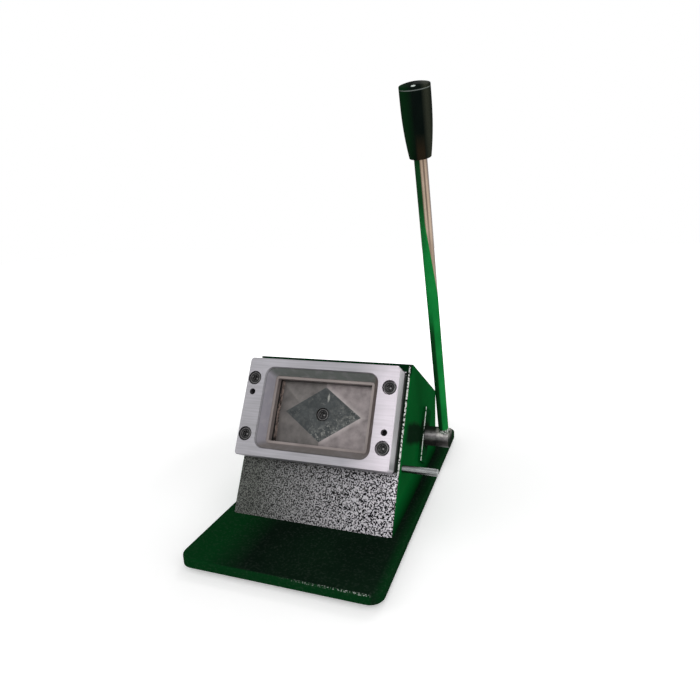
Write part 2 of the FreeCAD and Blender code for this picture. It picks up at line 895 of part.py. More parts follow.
def make_die_plate():
    body = slope_body("die_plate")
    outline = new_sketch(body, level=die_back)
    add_rectangle(outline, die_width, die_height, ZERO, front_centre)
    pad(body, outline, z.die_thickness)
    fillet(body, z.die_corner, lambda edge: runs_along(edge, 2))
    chamfer(body, z.die_edge, lambda edge: lies_at(edge, 2, die_face))

    # straight pocket down to the ledge, whose walls then lean out into a funnel
    ledge_level = die_face - z.pocket_depth
    mouth = new_sketch(body, level=die_face)
    add_rectangle(mouth, ledge_width, ledge_height, ZERO, front_centre)
    pocket(body, mouth, z.pocket_depth)

    def spans_pocket(shape):
        box = shape.BoundBox
        return abs(box.ZMin - ledge_level.number) < 1e-4 and abs(box.ZMax - die_face.number) < 1e-4

    fillet(body, z.pocket_corner, spans_pocket)
    base = body.Tip
    faces = list(enumerate(base.Shape.Faces, start=1))
    funnel = body.newObject("PartDesign::Draft", "die_plate_funnel")
    funnel.Base = (base, [f"Face{n}" for n, face in faces if spans_pocket(face)])
    funnel.NeutralPlane = (base, [f"Face{n}" for n, face in faces if lies_at(face, 2, ledge_level)])
    bind(funnel, "Angle", arctangent(z.pocket_run / z.pocket_depth))
    doc.recompute()

    # card opening with its straight land
    card = new_sketch(body, level=ledge_level)
    add_rectangle(card, z.card_width, z.card_height, ZERO, front_centre)
    pocket(body, card, z.die_thickness)
    fillet(body, z.card_corner, card_corner)

    recesses = new_sketch(body, level=die_face)
    add_circles(recesses, screw_recess, die_screw_places())
    pocket(body, recesses, screw_recess_depth)
    holes = new_sketch(body, level=die_face)
    add_circles(holes, z.screw_diameter + z.screw_hole_gap * 2, die_screw_places())
    pocket(body, holes, z.die_thickness)
    dowels = new_sketch(body, level=die_face)
    add_circles(dowels, z.dowel_diameter + z.dowel_gap * 2, dowel_places())
    pocket(body, dowels, z.die_thickness)


def make_guide_plate():
    body = slope_body("guide_plate")
    outline = new_sketch(body)
    add_rectangle(outline, die_width, die_height, ZERO, front_centre)
    pad(body, outline, z.guide_thickness)
    fillet(body, z.guide_corner, lambda edge: runs_along(edge, 2))
    card = new_sketch(body)
    add_rectangle(card, z.card_width, z.card_height, ZERO, front_centre)
    pocket(body, card, z.guide_thickness, reverse=True)
    fillet(body, z.card_corner, card_corner)
    holes = new_sketch(body)
    add_circles(holes, z.screw_diameter + z.screw_hole_gap * 2, die_screw_places())
    pocket(body, holes, z.guide_thickness, reverse=True)
    dowels = new_sketch(body)
    add_circles(dowels, z.dowel_diameter + z.dowel_gap * 2, dowel_places())
    pocket(body, dowels, z.guide_thickness, reverse=True)


def make_spacer_strips():
    """The two shims that hold the die plate off the guide plate, so that a sheet slides between."""
    for side, name in ((-1, "left"), (1, "right")):
        body = slope_body(f"spacer_strip_{name}")
        middle = (die_width / 2 - z.spacer_width / 2) * side
        outline = new_sketch(body, level=guide_face)
        add_rectangle(outline, z.spacer_width, die_height, middle, front_centre)
        pad(body, outline, z.slot_gap)
        outer = die_width / 2 * side
        fillet(body, z.die_corner, lambda edge: runs_along(edge, 2) and lies_at(edge, 0, outer))
        screws = [spot for spot in die_screw_places() if spot[0].number * side > 0]
        dowels = [spot for spot in dowel_places() if spot[0].number * side > 0]
        holes = new_sketch(body, level=guide_face)
        add_circles(holes, z.screw_diameter + z.screw_hole_gap * 2, screws)
        pocket(body, holes, z.slot_gap, reverse=True)
        pins = new_sketch(body, level=guide_face)
        add_circles(pins, z.dowel_diameter + z.dowel_gap * 2, dowels)
        pocket(body, pins, z.slot_gap, reverse=True)


def make_die_screws():
    body = slope_body("die_screws")
    seat = die_face - screw_recess_depth
    make_screws(
        body,
        die_screw_places(),
        seat=seat,
        head=z.screw_head,
        head_height=z.screw_head_height,
        shank=z.screw_diameter,
        length=seat - backing_back - z.screw_end_gap,
        hex_key=z.hex_key,
        hex_depth=z.hex_depth,
    )


def make_die_dowels():
    body = slope_body("die_dowels")
    outline = new_sketch(body, level=backing_back)
    add_circles(outline, z.dowel_diameter, dowel_places())
    pad(body, outline, die_face - backing_back - z.dowel_sink)


# ---- inner frame


def make_backing_plate():
    body = slope_body("backing_plate")
    outline = new_sketch(body, level=backing_front)
    add_rectangle(outline, (inner_half - z.backing_side_gap) * 2, die_height, ZERO, front_centre)
    pad(body, outline, z.backing_thickness, reverse=True)
    window = new_sketch(body, level=backing_front)
    add_rectangle(window, window_width, window_height, ZERO, front_centre)
    pocket(body, window, z.backing_thickness)
    screws = new_sketch(body, level=backing_front)
    add_circles(screws, z.screw_diameter, die_screw_places())
    pocket(body, screws, z.backing_thickness)
    dowels = new_sketch(body, level=backing_front)
    add_circles(dowels, z.dowel_diameter + z.dowel_gap * 2, dowel_places())
    pocket(body, dowels, z.backing_thickness)
    studs = new_sketch(body, level=backing_front)
    add_circles(studs, post_stud, post_places())
    pocket(body, studs, z.backing_thickness)
    heads = new_sketch(body, level=backing_front)
    add_circles(heads, z.arm_screw_head + z.screw_hole_gap * 2, arm_screw_places())
    pocket(body, heads, z.arm_screw_head_height + z.screw_hole_gap)
    shanks = new_sketch(body, level=backing_front)
    add_circles(shanks, z.arm_screw_diameter + z.screw_hole_gap * 2, arm_screw_places())
    pocket(body, shanks, z.backing_thickness)
    stop = new_sketch(body, "YZ_Plane", level=inner_half)
    add_circles(stop, z.stop_diameter, [(stop_up, -stop_depth)])
    pocket(body, stop, z.stop_bite)


def post_places():
    return [(post_reach * side, front_centre) for side in (-1, 1)]


def arm_screw_places():
    return four_corners(arm_screw_reach * 2, z.arm_screw_pitch, ZERO, front_centre)


def make_side_arms():
    """Plates, rounded about the bearings, that tie them to the backing plate and take the cutting force."""
    length = shaft_depth + backing_back
    for side, name in ((-1, "left"), (1, "right")):
        body = slope_body(f"side_arm_{name}")
        outline = new_sketch(body, "YZ_Plane", level=(inner_half - z.arm_thickness / 2) * side)
        add_rectangle(outline, z.arm_height, length, front_centre, backing_back - length / 2)
        pad(body, outline, z.arm_thickness, both_ways=True)
        tail = new_sketch(body, "YZ_Plane", level=(inner_half - z.arm_thickness / 2) * side)
        add_circles(tail, z.arm_height, [(front_centre, -shaft_depth)])
        pad(body, tail, z.arm_thickness, both_ways=True)
        bore = new_sketch(body, "YZ_Plane", level=inner_half * side)
        add_circles(bore, bearing_bush_diameter, [(front_centre, -shaft_depth)])
        pocket(body, bore, z.arm_thickness, reverse=side < 0)
        taps = new_sketch(body, "YZ_Plane", level=inner_half * side)
        add_circles(taps, z.flange_screw_diameter, flange_screw_places())
        pocket(body, taps, z.flange_screw_bite + z.screw_end_gap, reverse=side < 0)
        screws = [spot for spot in arm_screw_places() if spot[0].number * side > 0]
        threads = new_sketch(body, level=backing_back)
        add_circles(threads, z.arm_screw_diameter, screws)
        pocket(body, threads, z.arm_screw_bite + z.screw_end_gap)


def make_arm_screws():
    body = slope_body("arm_screws")
    seat = backing_front - z.arm_screw_head_height - z.screw_hole_gap
    make_screws(
        body,
        arm_screw_places(),
        seat=seat,
        head=z.arm_screw_head,
        head_height=z.arm_screw_head_height,
        shank=z.arm_screw_diameter,
        length=seat - backing_back + z.arm_screw_bite,
        hex_key=z.arm_screw_hex,
        hex_depth=z.arm_screw_head_height / 2,
    )


def make_guide_posts():
    for side, name in ((-1, "left"), (1, "right")):
        body = slope_body(f"guide_post_{name}")
        spot = [(post_reach * side, front_centre)]
        stud = new_sketch(body, level=backing_back)
        add_circles(stud, post_stud, spot)
        pad(body, stud, z.backing_thickness)
        rod = new_sketch(body, level=backing_back)
        add_circles(rod, z.post_diameter, spot)
        pad(body, rod, backing_back - post_end, reverse=True)
        groove = new_sketch(body, level=clip_front)
        add_circles(groove, z.post_diameter + z.groove_depth, spot)
        add_circles(groove, clip_groove, spot)
        pocket(body, groove, z.clip_thickness)


def make_post_stops():
    """A washer and a clip on each post, which the ram rests against."""
    for side, name in ((-1, "left"), (1, "right")):
        spot = [(post_reach * side, front_centre)]
        body = slope_body(f"post_washer_{name}")
        ring = new_sketch(body, level=washer_front)
        add_circles(ring, washer_diameter, spot)
        add_circles(ring, z.post_diameter + z.bush_gap * 2, spot)
        pad(body, ring, z.washer_thickness, reverse=True)
        body = slope_body(f"post_clip_{name}")
        ring = new_sketch(body, level=clip_front)
        add_circles(ring, z.post_diameter + z.clip_rim * 2, spot)
        add_circles(ring, clip_groove + z.bush_gap * 2, spot)
        pad(body, ring, z.clip_thickness - z.bush_gap, reverse=True)


def make_return_springs():
    """Compression springs on the posts, between the backing plate and the ram."""
    for side, name in ((-1, "left"), (1, "right")):
        body = slope_body(f"return_spring_{name}")
        start = backing_back - z.spring_end_gap
        spot = [(post_reach * side, front_centre)]
        outline = new_sketch(body, level=start)
        add_circles(outline, spring_diameter, spot)
        add_circles(outline, spring_diameter - z.spring_wire * 2, spot)
        pad(body, outline, start - ram_front - z.spring_end_gap, reverse=True)


# ---- ram


def make_punch():
    body = slope_body("punch")
    width = z.card_width - z.punch_gap * 2
    height = z.card_height - z.punch_gap * 2
    outline = new_sketch(body, level=punch_back)
    add_rectangle(outline, width, height, ZERO, front_centre)
    pad(body, outline, z.punch_thickness)
    fillet(body, z.card_corner, card_corner)

    # four facets fall back to the corners, so that the cut runs along the edges from their middles;
    # between them the face stays flat in a diamond, whose half lengths are these
    across = width / 2 * z.punch_diamond_across
    up = height / 2 * z.punch_diamond_up
    fall = z.punch_relief / (1 / z.punch_diamond_across + 1 / z.punch_diamond_up - 1)
    lean = arctangent(fall * square_root(1 / (across * across) + 1 / (up * up)))
    for side in (-1, 1):
        for end in (-1, 1):
            # the facet's plane turns about its side of the diamond, through the diamond's corner
            facet = new_sketch(body)
            lean_sketch(facet, (across * side, front_centre, punch_face), (across * -end, up * side), lean)
            add_rectangle(facet, width * 2, width * 2)
            pocket(body, facet, z.punch_relief * 2, reverse=True)

    recess = new_sketch(body, level=punch_face)
    add_circles(recess, z.screw_head + z.punch_recess_gap * 2, [(ZERO, front_centre)])
    pocket(body, recess, screw_recess_depth)
    hole = new_sketch(body, level=punch_face)
    add_circles(hole, z.screw_diameter + z.screw_hole_gap * 2, [(ZERO, front_centre)])
    pocket(body, hole, z.punch_thickness)


def make_punch_screw():
    body = slope_body("punch_screw")
    seat = punch_face - screw_recess_depth
    make_screws(
        body,
        [(ZERO, front_centre)],
        seat=seat,
        head=z.screw_head,
        head_height=z.screw_head_height,
        shank=z.screw_diameter,
        length=seat - ram_front,
        hex_key=z.hex_key,
        hex_depth=z.hex_depth,
    )


def make_ram():
    body = slope_body("ram_block")
    neck_width = z.card_width - z.ram_neck_inset * 2
    neck_height = z.card_height - z.ram_neck_inset * 2
    ram_width = (arm_inner - z.ram_side_gap) * 2
    ram_height = neck_height + z.ram_shoulder * 2
    outline = new_sketch(body, level=ram_front)
    add_rectangle(outline, ram_width, ram_height, ZERO, front_centre)
    pad(body, outline, z.ram_thickness, reverse=True)
    fillet(body, z.ram_corner, lambda edge: runs_along(edge, 2))
    neck = new_sketch(body, level=ram_front)
    add_rectangle(neck, neck_width, neck_height, ZERO, front_centre)
    pad(body, neck, z.ram_neck_length)
    boss = new_sketch(body, level=ram_back)
    add_circles(boss, ram_boss_diameter, [(ZERO, front_centre)])
    pad(body, boss, ram_back - boss_back, reverse=True)
    seat = new_sketch(body, level=boss_back)
    add_circles(seat, z.pad_diameter + z.pad_gap * 2, [(ZERO, front_centre)])
    pocket(body, seat, z.pad_seat, reverse=True)
    thread = new_sketch(body, level=punch_back)
    add_circles(thread, z.screw_diameter, [(ZERO, front_centre)])
    pocket(body, thread, z.ram_neck_length + z.screw_end_gap)
    bores = new_sketch(body, level=ram_front)
    add_circles(bores, ram_bush_diameter, post_places())
    pocket(body, bores, z.ram_thickness)


def make_ram_bushes():
    for side, name in ((-1, "left"), (1, "right")):
        body = slope_body(f"ram_bush_{name}")
        spot = [(post_reach * side, front_centre)]
        ring = new_sketch(body, level=ram_front)
        add_circles(ring, ram_bush_diameter, spot)
        add_circles(ring, z.post_diameter + z.bush_gap * 2, spot)
        pad(body, ring, z.ram_thickness, reverse=True)


def make_wear_pad():
    body = slope_body("wear_pad")
    outline = new_sketch(body, level=pad_face)
    add_circles(outline, z.pad_diameter, [(ZERO, front_centre)])
    pad(body, outline, z.pad_thickness)


# ---- cross shaft, cam and bearings


def make_cam_shaft():
    body = shaft_body("cam_shaft")
    profile = new_sketch(body, "XY_Plane")
    radius = z.shaft_diameter / 2
    groove = ring_groove / 2
    left = ring_outer - z.shaft_tail
    right = lever_plane + z.rod_diameter / 2 + z.shaft_end_margin
    bevel = z.shaft_chamfer
    add_polygon(
        profile,
        [
            (left, ZERO),
            (right, ZERO),
            (right, radius - bevel),
            (right - bevel, radius),
            (ring_inner, radius),
            (ring_inner, groove),
            (ring_outer, groove),
            (ring_outer, radius),
            (left + bevel, radius),
            (left, radius - bevel),
        ],
    )
    revolve(body, profile, "H_Axis")
    seat = new_sketch(body, "XZ_Plane", level=radius - z.key_height / 2)
    add_rectangle(seat, z.key_length + z.key_gap * 2, z.key_width + z.key_gap * 2)
    pocket(body, seat, z.key_height, reverse=True)
    cross = new_sketch(body, level=-z.rod_seat, turn=z.lever_lean - SLOPE_TURN)
    add_circles(cross, z.rod_diameter + z.rod_gap * 2, [(lever_plane, ZERO)])
    pocket(body, cross, z.rod_seat + z.shaft_diameter, reverse=True)


def make_shaft_ring():
    body = shaft_body("shaft_ring")
    outline = new_sketch(body, "YZ_Plane", level=ring_inner - z.ring_gap / 4)
    add_circles(outline, z.shaft_diameter + z.ring_rim * 2)
    add_circles(outline, ring_groove + z.shaft_gap * 2)
    pad(body, outline, z.ring_thickness, reverse=True)


def make_shaft_collar():
    body = shaft_body("shaft_collar")
    outline = new_sketch(body, "YZ_Plane", level=arm_inner - z.shaft_collar_gap)
    add_circles(outline, z.shaft_collar_diameter)
    add_circles(outline, z.shaft_diameter + z.shaft_gap)
    pad(body, outline, z.shaft_collar_width, reverse=True)


def make_bearings():
    for side, name in ((-1, "left"), (1, "right")):
        bush = shaft_body(f"shaft_bush_{name}")
        ring = new_sketch(bush, "YZ_Plane", level=body_width / 2 * side)
        add_circles(ring, bearing_bush_diameter)
        add_circles(ring, z.shaft_diameter + z.shaft_gap * 2)
        pad(bush, ring, z.shell_wall + z.arm_thickness, reverse=side > 0)

        flange = shaft_body(f"bearing_flange_{name}")
        outline = new_sketch(flange, "YZ_Plane", level=body_width / 2 * side)
        add_rectangle(outline, flange_height, flange_hole + z.flange_rim * 2)
        pad(flange, outline, z.flange_thickness, reverse=side < 0)
        outer = (body_width / 2 + z.flange_thickness) * side
        hole = new_sketch(flange, "YZ_Plane", level=outer)
        add_circles(hole, flange_hole)
        pocket(flange, hole, z.flange_thickness, reverse=side < 0)
        screws = new_sketch(flange, "YZ_Plane", level=outer)
        add_circles(screws, z.flange_screw_diameter + z.screw_hole_gap * 2, own_flange_screws())
        pocket(flange, screws, z.flange_thickness, reverse=side < 0)
        chamfer(flange, flange_screw_head_height, lambda edge: is_screw_hole(edge, outer))


def own_flange_screws():
    return [(z.flange_screw_pitch / 2 * side, ZERO) for side in (-1, 1)]


def is_screw_hole(edge, outer):
    """Whether an edge is the outer rim of one of the flange's screw holes."""
    circle = edge.Curve.TypeId == "Part::GeomCircle"
    return circle and lies_at(edge, 0, outer) and edge.Curve.Radius < z.flange_screw_head.number / 2


def make_flange_screws():
    """Countersunk screws, flush with the flange."""
    for side, name in ((-1, "left"), (1, "right")):
        body = shaft_body(f"flange_screws_{name}")
        outer = (body_width / 2 + z.flange_thickness) * side
        heads = new_sketch(body, "YZ_Plane", level=outer)
        add_circles(heads, z.flange_screw_head, own_flange_screws())
        pad(body, heads, flange_screw_head_height, reverse=side > 0)
        under = outer - flange_screw_head_height * side
        chamfer(body, flange_screw_cone, lambda edge: lies_at(edge, 0, under))
        shanks = new_sketch(body, "YZ_Plane", level=under)
        add_circles(shanks, z.flange_screw_diameter, own_flange_screws())
        length = z.flange_thickness - flange_screw_head_height + z.shell_wall + z.flange_screw_bite
        pad(body, shanks, length, reverse=side > 0)
        sockets = new_sketch(body, "YZ_Plane", level=outer)
        add_hexagons(sockets, z.flange_screw_hex, own_flange_screws())
        pocket(body, sockets, flange_screw_head_height, reverse=side < 0)


def make_cam():
    """Plate cam: a flat at rest, then the involute that gives the ram an even advance."""
    reach = z.cam_base_radius.number
    height = z.cam_rest_height.number - z.cam_gap.number
    hub = z.cam_hub.number
    nose = z.cam_nose.number
    half = z.cam_width.number / 2
    last = math.radians(z.lever_travel.number)
    steps = 8

    def involute(turn):
        rise = height + reach * turn
        across = reach * math.cos(turn) + rise * math.sin(turn)
        forward = rise * math.cos(turn) - reach * math.sin(turn)
        return FreeCAD.Vector(-half, across, forward)

    flank = Part.BSplineCurve()
    flank.interpolate([involute(last * step / steps) for step in range(steps + 1)])
    tip = involute(last)
    # the nose arc starts square to the flank's end and turns back toward the hub
    inward = FreeCAD.Vector(0, -math.sin(last), -math.cos(last))
    onward = FreeCAD.Vector(0, math.cos(last), -math.sin(last))
    centre = tip + inward * nose
    nose_end = centre + onward * nose
    middle = centre + (onward - inward).normalize() * nose
    # from the nose a straight back runs to touch the hub circle
    distance = math.hypot(nose_end.y, nose_end.z)
    bearing = math.atan2(nose_end.z, nose_end.y) - math.acos(hub / distance)
    back = FreeCAD.Vector(-half, hub * math.cos(bearing), hub * math.sin(bearing))
    flat_end = FreeCAD.Vector(-half, -z.cam_flat.number, height)
    hub_angle = math.radians(z.cam_hub_angle.number)
    hub_start = FreeCAD.Vector(-half, -hub * math.sin(hub_angle), hub * math.cos(hub_angle))
    opposite = math.radians(45)
    under = FreeCAD.Vector(-half, -hub * math.cos(opposite), -hub * math.sin(opposite))
    edges = [
        Part.LineSegment(flat_end, involute(0)).toShape(),
        flank.toShape(),
        Part.Arc(tip, middle, nose_end).toShape(),
        Part.LineSegment(nose_end, back).toShape(),
        Part.Arc(back, under, hub_start).toShape(),
        Part.LineSegment(hub_start, flat_end).toShape(),
    ]
    plate = Part.Face(Part.Wire(edges)).extrude(FreeCAD.Vector(half * 2, 0, 0))
    bore_radius = z.shaft_diameter.number / 2 + z.shaft_gap.number
    start = FreeCAD.Vector(-half, 0, 0)
    bore = Part.makeCylinder(bore_radius, half * 2, start, FreeCAD.Vector(1, 0, 0))
    key_half = z.key_width.number / 2 + z.key_gap.number
    key_top = z.shaft_diameter.number / 2 + z.key_height.number / 2 + z.key_gap.number
    slot = Part.makeBox(half * 2, key_top, key_half * 2, FreeCAD.Vector(-half, -key_top, -key_half))
    cam = doc.addObject("Part::Feature", "cam")
    cam.Label = "cam"
    cam.Shape = plate.cut(bore).cut(slot)
    place(cam, centre_x, shaft_y, shaft_z, SLOPE_TURN)
    NODES.append(cam)


def make_cam_key():
    body = shaft_body("cam_key")
    outline = new_sketch(body, "XZ_Plane", level=(z.shaft_diameter - z.key_height) / 2)
    add_rectangle(outline, z.key_length, z.key_width)
    pad(body, outline, z.key_height)


# ---- lever and stop


def make_lever():
    rod = shaft_body("lever_rod", z.lever_lean)
    outline = new_sketch(rod, level=-z.rod_seat)
    add_circles(outline, z.rod_diameter, [(lever_plane, ZERO)])
    pad(rod, outline, z.rod_seat + z.grip_start + z.grip_bore_depth)

    grip = new_body("lever_grip")
    place(
        grip,
        centre_x + lever_plane,
        shaft_y - sine(z.lever_lean) * z.grip_start,
        shaft_z + cosine(z.lever_lean) * z.grip_start,
        z.lever_lean,
    )
    profile = new_sketch(grip, "XZ_Plane")
    bore = z.rod_diameter / 2 + z.rod_gap
    low = z.grip_bottom_diameter / 2
    high = z.grip_top_diameter / 2
    rim = z.grip_length - z.grip_dome
    # the swelling side and the domed top are arcs, each with this radius
    side_radius = arc_radius(high - low, z.grip_taper)
    dome_radius = arc_radius(z.grip_dome, high)
    add_polygon(
        profile,
        [
            (bore, ZERO),
            (low, ZERO),
            (high, z.grip_taper),
            (high, rim),
            (ZERO, z.grip_length),
            (ZERO, z.grip_bore_depth + z.rod_end_gap),
            (bore, z.grip_bore_depth + z.rod_end_gap),
        ],
        arcs={1: (high - side_radius, z.grip_taper), 3: (ZERO, z.grip_length - dome_radius)},
    )
    revolve(grip, profile)
    fillet(grip, z.grip_edge, lambda edge: lies_at(edge, 2, rim))


def arc_radius(rise, reach):
    """Radius of the arc that ends square after rising so far over so long a reach."""
    return (rise * rise + reach * reach) / (rise * 2)


def make_stop_pin():
    body = slope_body("lever_stop_pin")
    outline = new_sketch(body, "YZ_Plane", level=stop_end)
    add_circles(outline, z.stop_diameter, [(stop_up, -stop_depth)])
    pad(body, outline, stop_end - inner_half + z.stop_bite - z.screw_end_gap, reverse=True)
    fillet(body, z.stop_edge, lambda edge: lies_at(edge, 0, stop_end))


def check_and_write():
    doc.recompute()
    for item in doc.Objects:
        if any(word in item.State for word in ("Invalid", "Error")):
            raise RuntimeError(f"{item.Name} is {item.State}")
    os.makedirs("parts", exist_ok=True)
    for node in NODES:
        if node.Shape.isNull() or not node.Shape.isValid():
            raise RuntimeError(f"{node.Label} has no valid shape")
    for node in NODES:
        node.Shape.exportStep(f"parts/{node.Label}.step")
    print(len(NODES), "nodes written")


make_base_plate()
make_feet()
make_foot_screws()
make_housing_shell()
make_base_screws()
make_rear_cover()
make_cover_screws()
make_backing_plate()
make_side_arms()
make_arm_screws()
make_guide_plate()
make_spacer_strips()
make_die_plate()
make_die_screws()
make_die_dowels()
make_guide_posts()
make_post_stops()
make_return_springs()
make_punch()
make_punch_screw()
make_ram()
make_ram_bushes()
make_wear_pad()
make_bearings()
make_flange_screws()
make_cam_shaft()
make_shaft_ring()
make_shaft_collar()
make_cam()
make_cam_key()
make_lever()
make_stop_pin()
check_and_write()
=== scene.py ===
# %% [markdown]
# # A hand lever card cutter
#
# This lesson dresses a desk machine that punches plastic identity cards out of a sheet. Its solids
# come from a CAD model and are already in place, in metres, with the floor at zero. What is left for
# Blender is the finish of each surface, and the small repeated pieces that a CAD model keeps plain:
# cap screws with knurled heads, and springs wound from wire.
#
# The lesson goes from the outside in: the camera and the light first, because a finish can only be
# judged in the light it is seen in, then the paints and metals, and then the made pieces.

# %% Load the solids
import math
from functools import cached_property

import bpy
from mathutils import Matrix, Vector


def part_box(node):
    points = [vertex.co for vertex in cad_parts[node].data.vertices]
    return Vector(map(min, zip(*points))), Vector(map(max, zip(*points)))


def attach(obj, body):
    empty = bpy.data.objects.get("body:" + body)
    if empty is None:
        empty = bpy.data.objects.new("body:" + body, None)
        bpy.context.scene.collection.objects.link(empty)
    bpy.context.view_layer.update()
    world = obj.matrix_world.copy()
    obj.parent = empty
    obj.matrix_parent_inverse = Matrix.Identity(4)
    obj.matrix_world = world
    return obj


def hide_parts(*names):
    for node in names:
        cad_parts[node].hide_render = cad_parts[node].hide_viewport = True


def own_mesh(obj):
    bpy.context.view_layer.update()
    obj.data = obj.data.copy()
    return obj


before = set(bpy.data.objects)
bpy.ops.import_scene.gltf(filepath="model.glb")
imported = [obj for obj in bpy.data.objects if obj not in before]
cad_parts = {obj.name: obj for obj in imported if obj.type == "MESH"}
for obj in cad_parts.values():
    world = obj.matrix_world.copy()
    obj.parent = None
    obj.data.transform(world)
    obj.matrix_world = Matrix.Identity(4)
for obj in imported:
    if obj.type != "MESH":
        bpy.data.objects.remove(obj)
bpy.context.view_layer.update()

# %% [markdown]
# ## The sloping front as a place of its own
#
# Nearly everything on this machine is square to its front, which leans back 30 degrees. Working out
# each point in the room's axes would hide that. It is easier to speak of three distances: across the
# front, up the front, and out of the front. One small function turns them into a point in the room,
# and two unit vectors give the directions.

# %% The front's own axes
TILT = math.radians(30)
MIDDLE = -0.011425
BASE_TOP = 0.0125
FRONT_FOOT = Vector((MIDDLE, -0.082, BASE_TOP))
UP_FRONT = Vector((0, math.sin(TILT), math.cos(TILT)))
OUT_OF_FRONT = Vector((0, -math.cos(TILT), math.sin(TILT)))


def on_front(across, up, out):
    """The point so far across, up and out of the sloping front, in metres."""
    return FRONT_FOOT + Vector((across, 0, 0)) + UP_FRONT * up + OUT_OF_FRONT * out


PUNCH_MIDDLE = 0.09
SHAFT = on_front(0, PUNCH_MIDDLE, -0.074)
ROD_REACH = 0.091
print("cross shaft at", [round(v, 4) for v in SHAFT])

# %% [markdown]
# ## Camera
#
# A camera can be aimed with a Track To constraint, or by typing angles. Here the angles are known, so
# its three axes are worked out from yaw, pitch and roll and put straight into its matrix: a camera
# looks along its own -Z, with +Y up and +X to the right. It stands close, so near parts look larger
# than far ones, which a longer lens from further away would lose.

# %% Place the camera
YAW, PITCH, ROLL = math.radians(20.27), math.radians(14.32), math.radians(-2.31)
CAMERA_PLACE = Vector((0.166365, -0.44901, 0.26164))
SENSOR_MM, LENS_MM = 36, 28.65

looking = Vector((-math.sin(YAW) * math.cos(PITCH), math.cos(YAW) * math.cos(PITCH), -math.sin(PITCH)))
level_right = Vector((math.cos(YAW), math.sin(YAW), 0))
level_up = level_right.cross(looking)
camera_right = level_right * math.cos(ROLL) + level_up * math.sin(ROLL)
camera_up = level_up * math.cos(ROLL) - level_right * math.sin(ROLL)

camera = bpy.data.objects.new("camera", bpy.data.cameras.new("camera"))
bpy.context.scene.collection.objects.link(camera)
camera.data.sensor_width, camera.data.lens = SENSOR_MM, LENS_MM
camera.data.clip_start, camera.data.clip_end = 0.01, 20
camera_axes = Matrix((camera_right, camera_up, -looking)).transposed()
camera.matrix_world = Matrix.Translation(CAMERA_PLACE) @ camera_axes.to_4x4()
bpy.context.scene.camera = camera
print("lens", camera.data.lens, "mm")

# %% [markdown]
# ## A shorter way to write nodes
#
# Node trees are usually drawn by hand in an editor. In a script each node is three or four lines, and
# the idea is lost among them. Two helpers fix that. `node` adds one node, sets its options and its
# sockets in a single call, and links a socket when the value is another node's output. `Sum` wraps an
# output so that ordinary arithmetic on it builds Math nodes. Both work in material trees and in
# geometry trees, so they are written once here.
#
# Most of what follows is masks: sums that are 1 in one place, 0 elsewhere, and soft between. `between`
# makes an edge, `band` makes a strip, a product keeps what two masks share, and `|` joins them.

# %% Node helpers
def plug(tree, socket, value):
    """Gives a socket a plain value, or links another node's output to it."""
    if isinstance(value, Sum):
        value = value.socket
    if isinstance(value, bpy.types.NodeSocket):
        tree.links.new(value, socket)
    else:
        socket.default_value = value


def node(tree, kind, options=None, **sockets):
    """Adds a node; a socket is given by name, or as i0, i1 and so on where names repeat."""
    made = tree.nodes.new(kind)
    for option, value in (options or {}).items():
        setattr(made, option, value)
    for name, value in sockets.items():
        by_number = name[0] == "i" and name[1:].isdigit()
        plug(tree, made.inputs[int(name[1:]) if by_number else name.replace("_", " ")], value)
    return made


class Sum:
    """An output that takes part in sums: each sign adds one Math node."""

    def __init__(self, tree, socket):
        self.tree, self.socket = tree, socket

    def math(self, operation, *others):
        sockets = {f"i{n}": value for n, value in enumerate((self, *others))}
        made = node(self.tree, "ShaderNodeMath", {"operation": operation}, **sockets)
        return Sum(self.tree, made.outputs[0])

    def __add__(self, other):
        return self.math("ADD", other)

    def __sub__(self, other):
        return self.math("SUBTRACT", other)

    def __neg__(self):
        return self * -1

    def __rsub__(self, other):
        return -self + other

    def __mul__(self, other):
        return self.math("MULTIPLY", other)

    def __truediv__(self, other):
        return self.math("DIVIDE", other)

    def __or__(self, other):
        """The larger of two, which joins two masks."""
        return self.math("MAXIMUM", other)

    def __abs__(self):
        return self.math("ABSOLUTE")

    __radd__ = __add__
    __rmul__ = __mul__

    def between(self, low, high):
        """0 at low, 1 at high, straight between and held outside."""
        made = node(self.tree, "ShaderNodeMapRange", {"clamp": True}, Value=self, From_Min=low, From_Max=high)
        return Sum(self.tree, made.outputs[0])

    def band(self, starts, full, still_full, ends):
        """A strip: 1 from full to still_full, and soft out to where it starts and ends."""
        return self.between(starts, full) * self.between(ends, still_full)


def square_sum(first, second):
    return first * first + second * second


FULL_TURN = 2 * math.pi
print("helpers ready")

# %% [markdown]
# ## Floor, background and light
#
# The machine stands on a pale, plain floor in a white room, as a product on a sales page does. A white
# background could be had by flooding everything with light, but that would wash the paint out. So the
# light stays at a plain level, and only the rays that go straight to the camera, or bounce off
# something shiny on the way, see a white world. Light Path tells the rays apart. The floor is lit like
# anything else, so that it keeps the machine's shadow, and glows a little for the same rays. The glow
# grows with distance, so that the floor runs into the white world without a horizon.

# %% World and floor
def sees_background(tree):
    """1 for camera, glossy and transmission rays, 0 for the rays that light surfaces."""
    path = node(tree, "ShaderNodeLightPath")
    camera_ray = Sum(tree, path.outputs["Is Camera Ray"])
    return camera_ray | path.outputs["Is Glossy Ray"] | path.outputs["Is Transmission Ray"]


ROOM_LIGHT = 0.4
world = bpy.data.worlds.new("white_room")
world.use_nodes = True
bpy.context.scene.world = world
background = world.node_tree.nodes["Background"]
background.inputs["Color"].default_value = (1, 1, 1, 1)
strength = sees_background(world.node_tree) * (1 - ROOM_LIGHT) + ROOM_LIGHT
plug(world.node_tree, background.inputs["Strength"], strength)

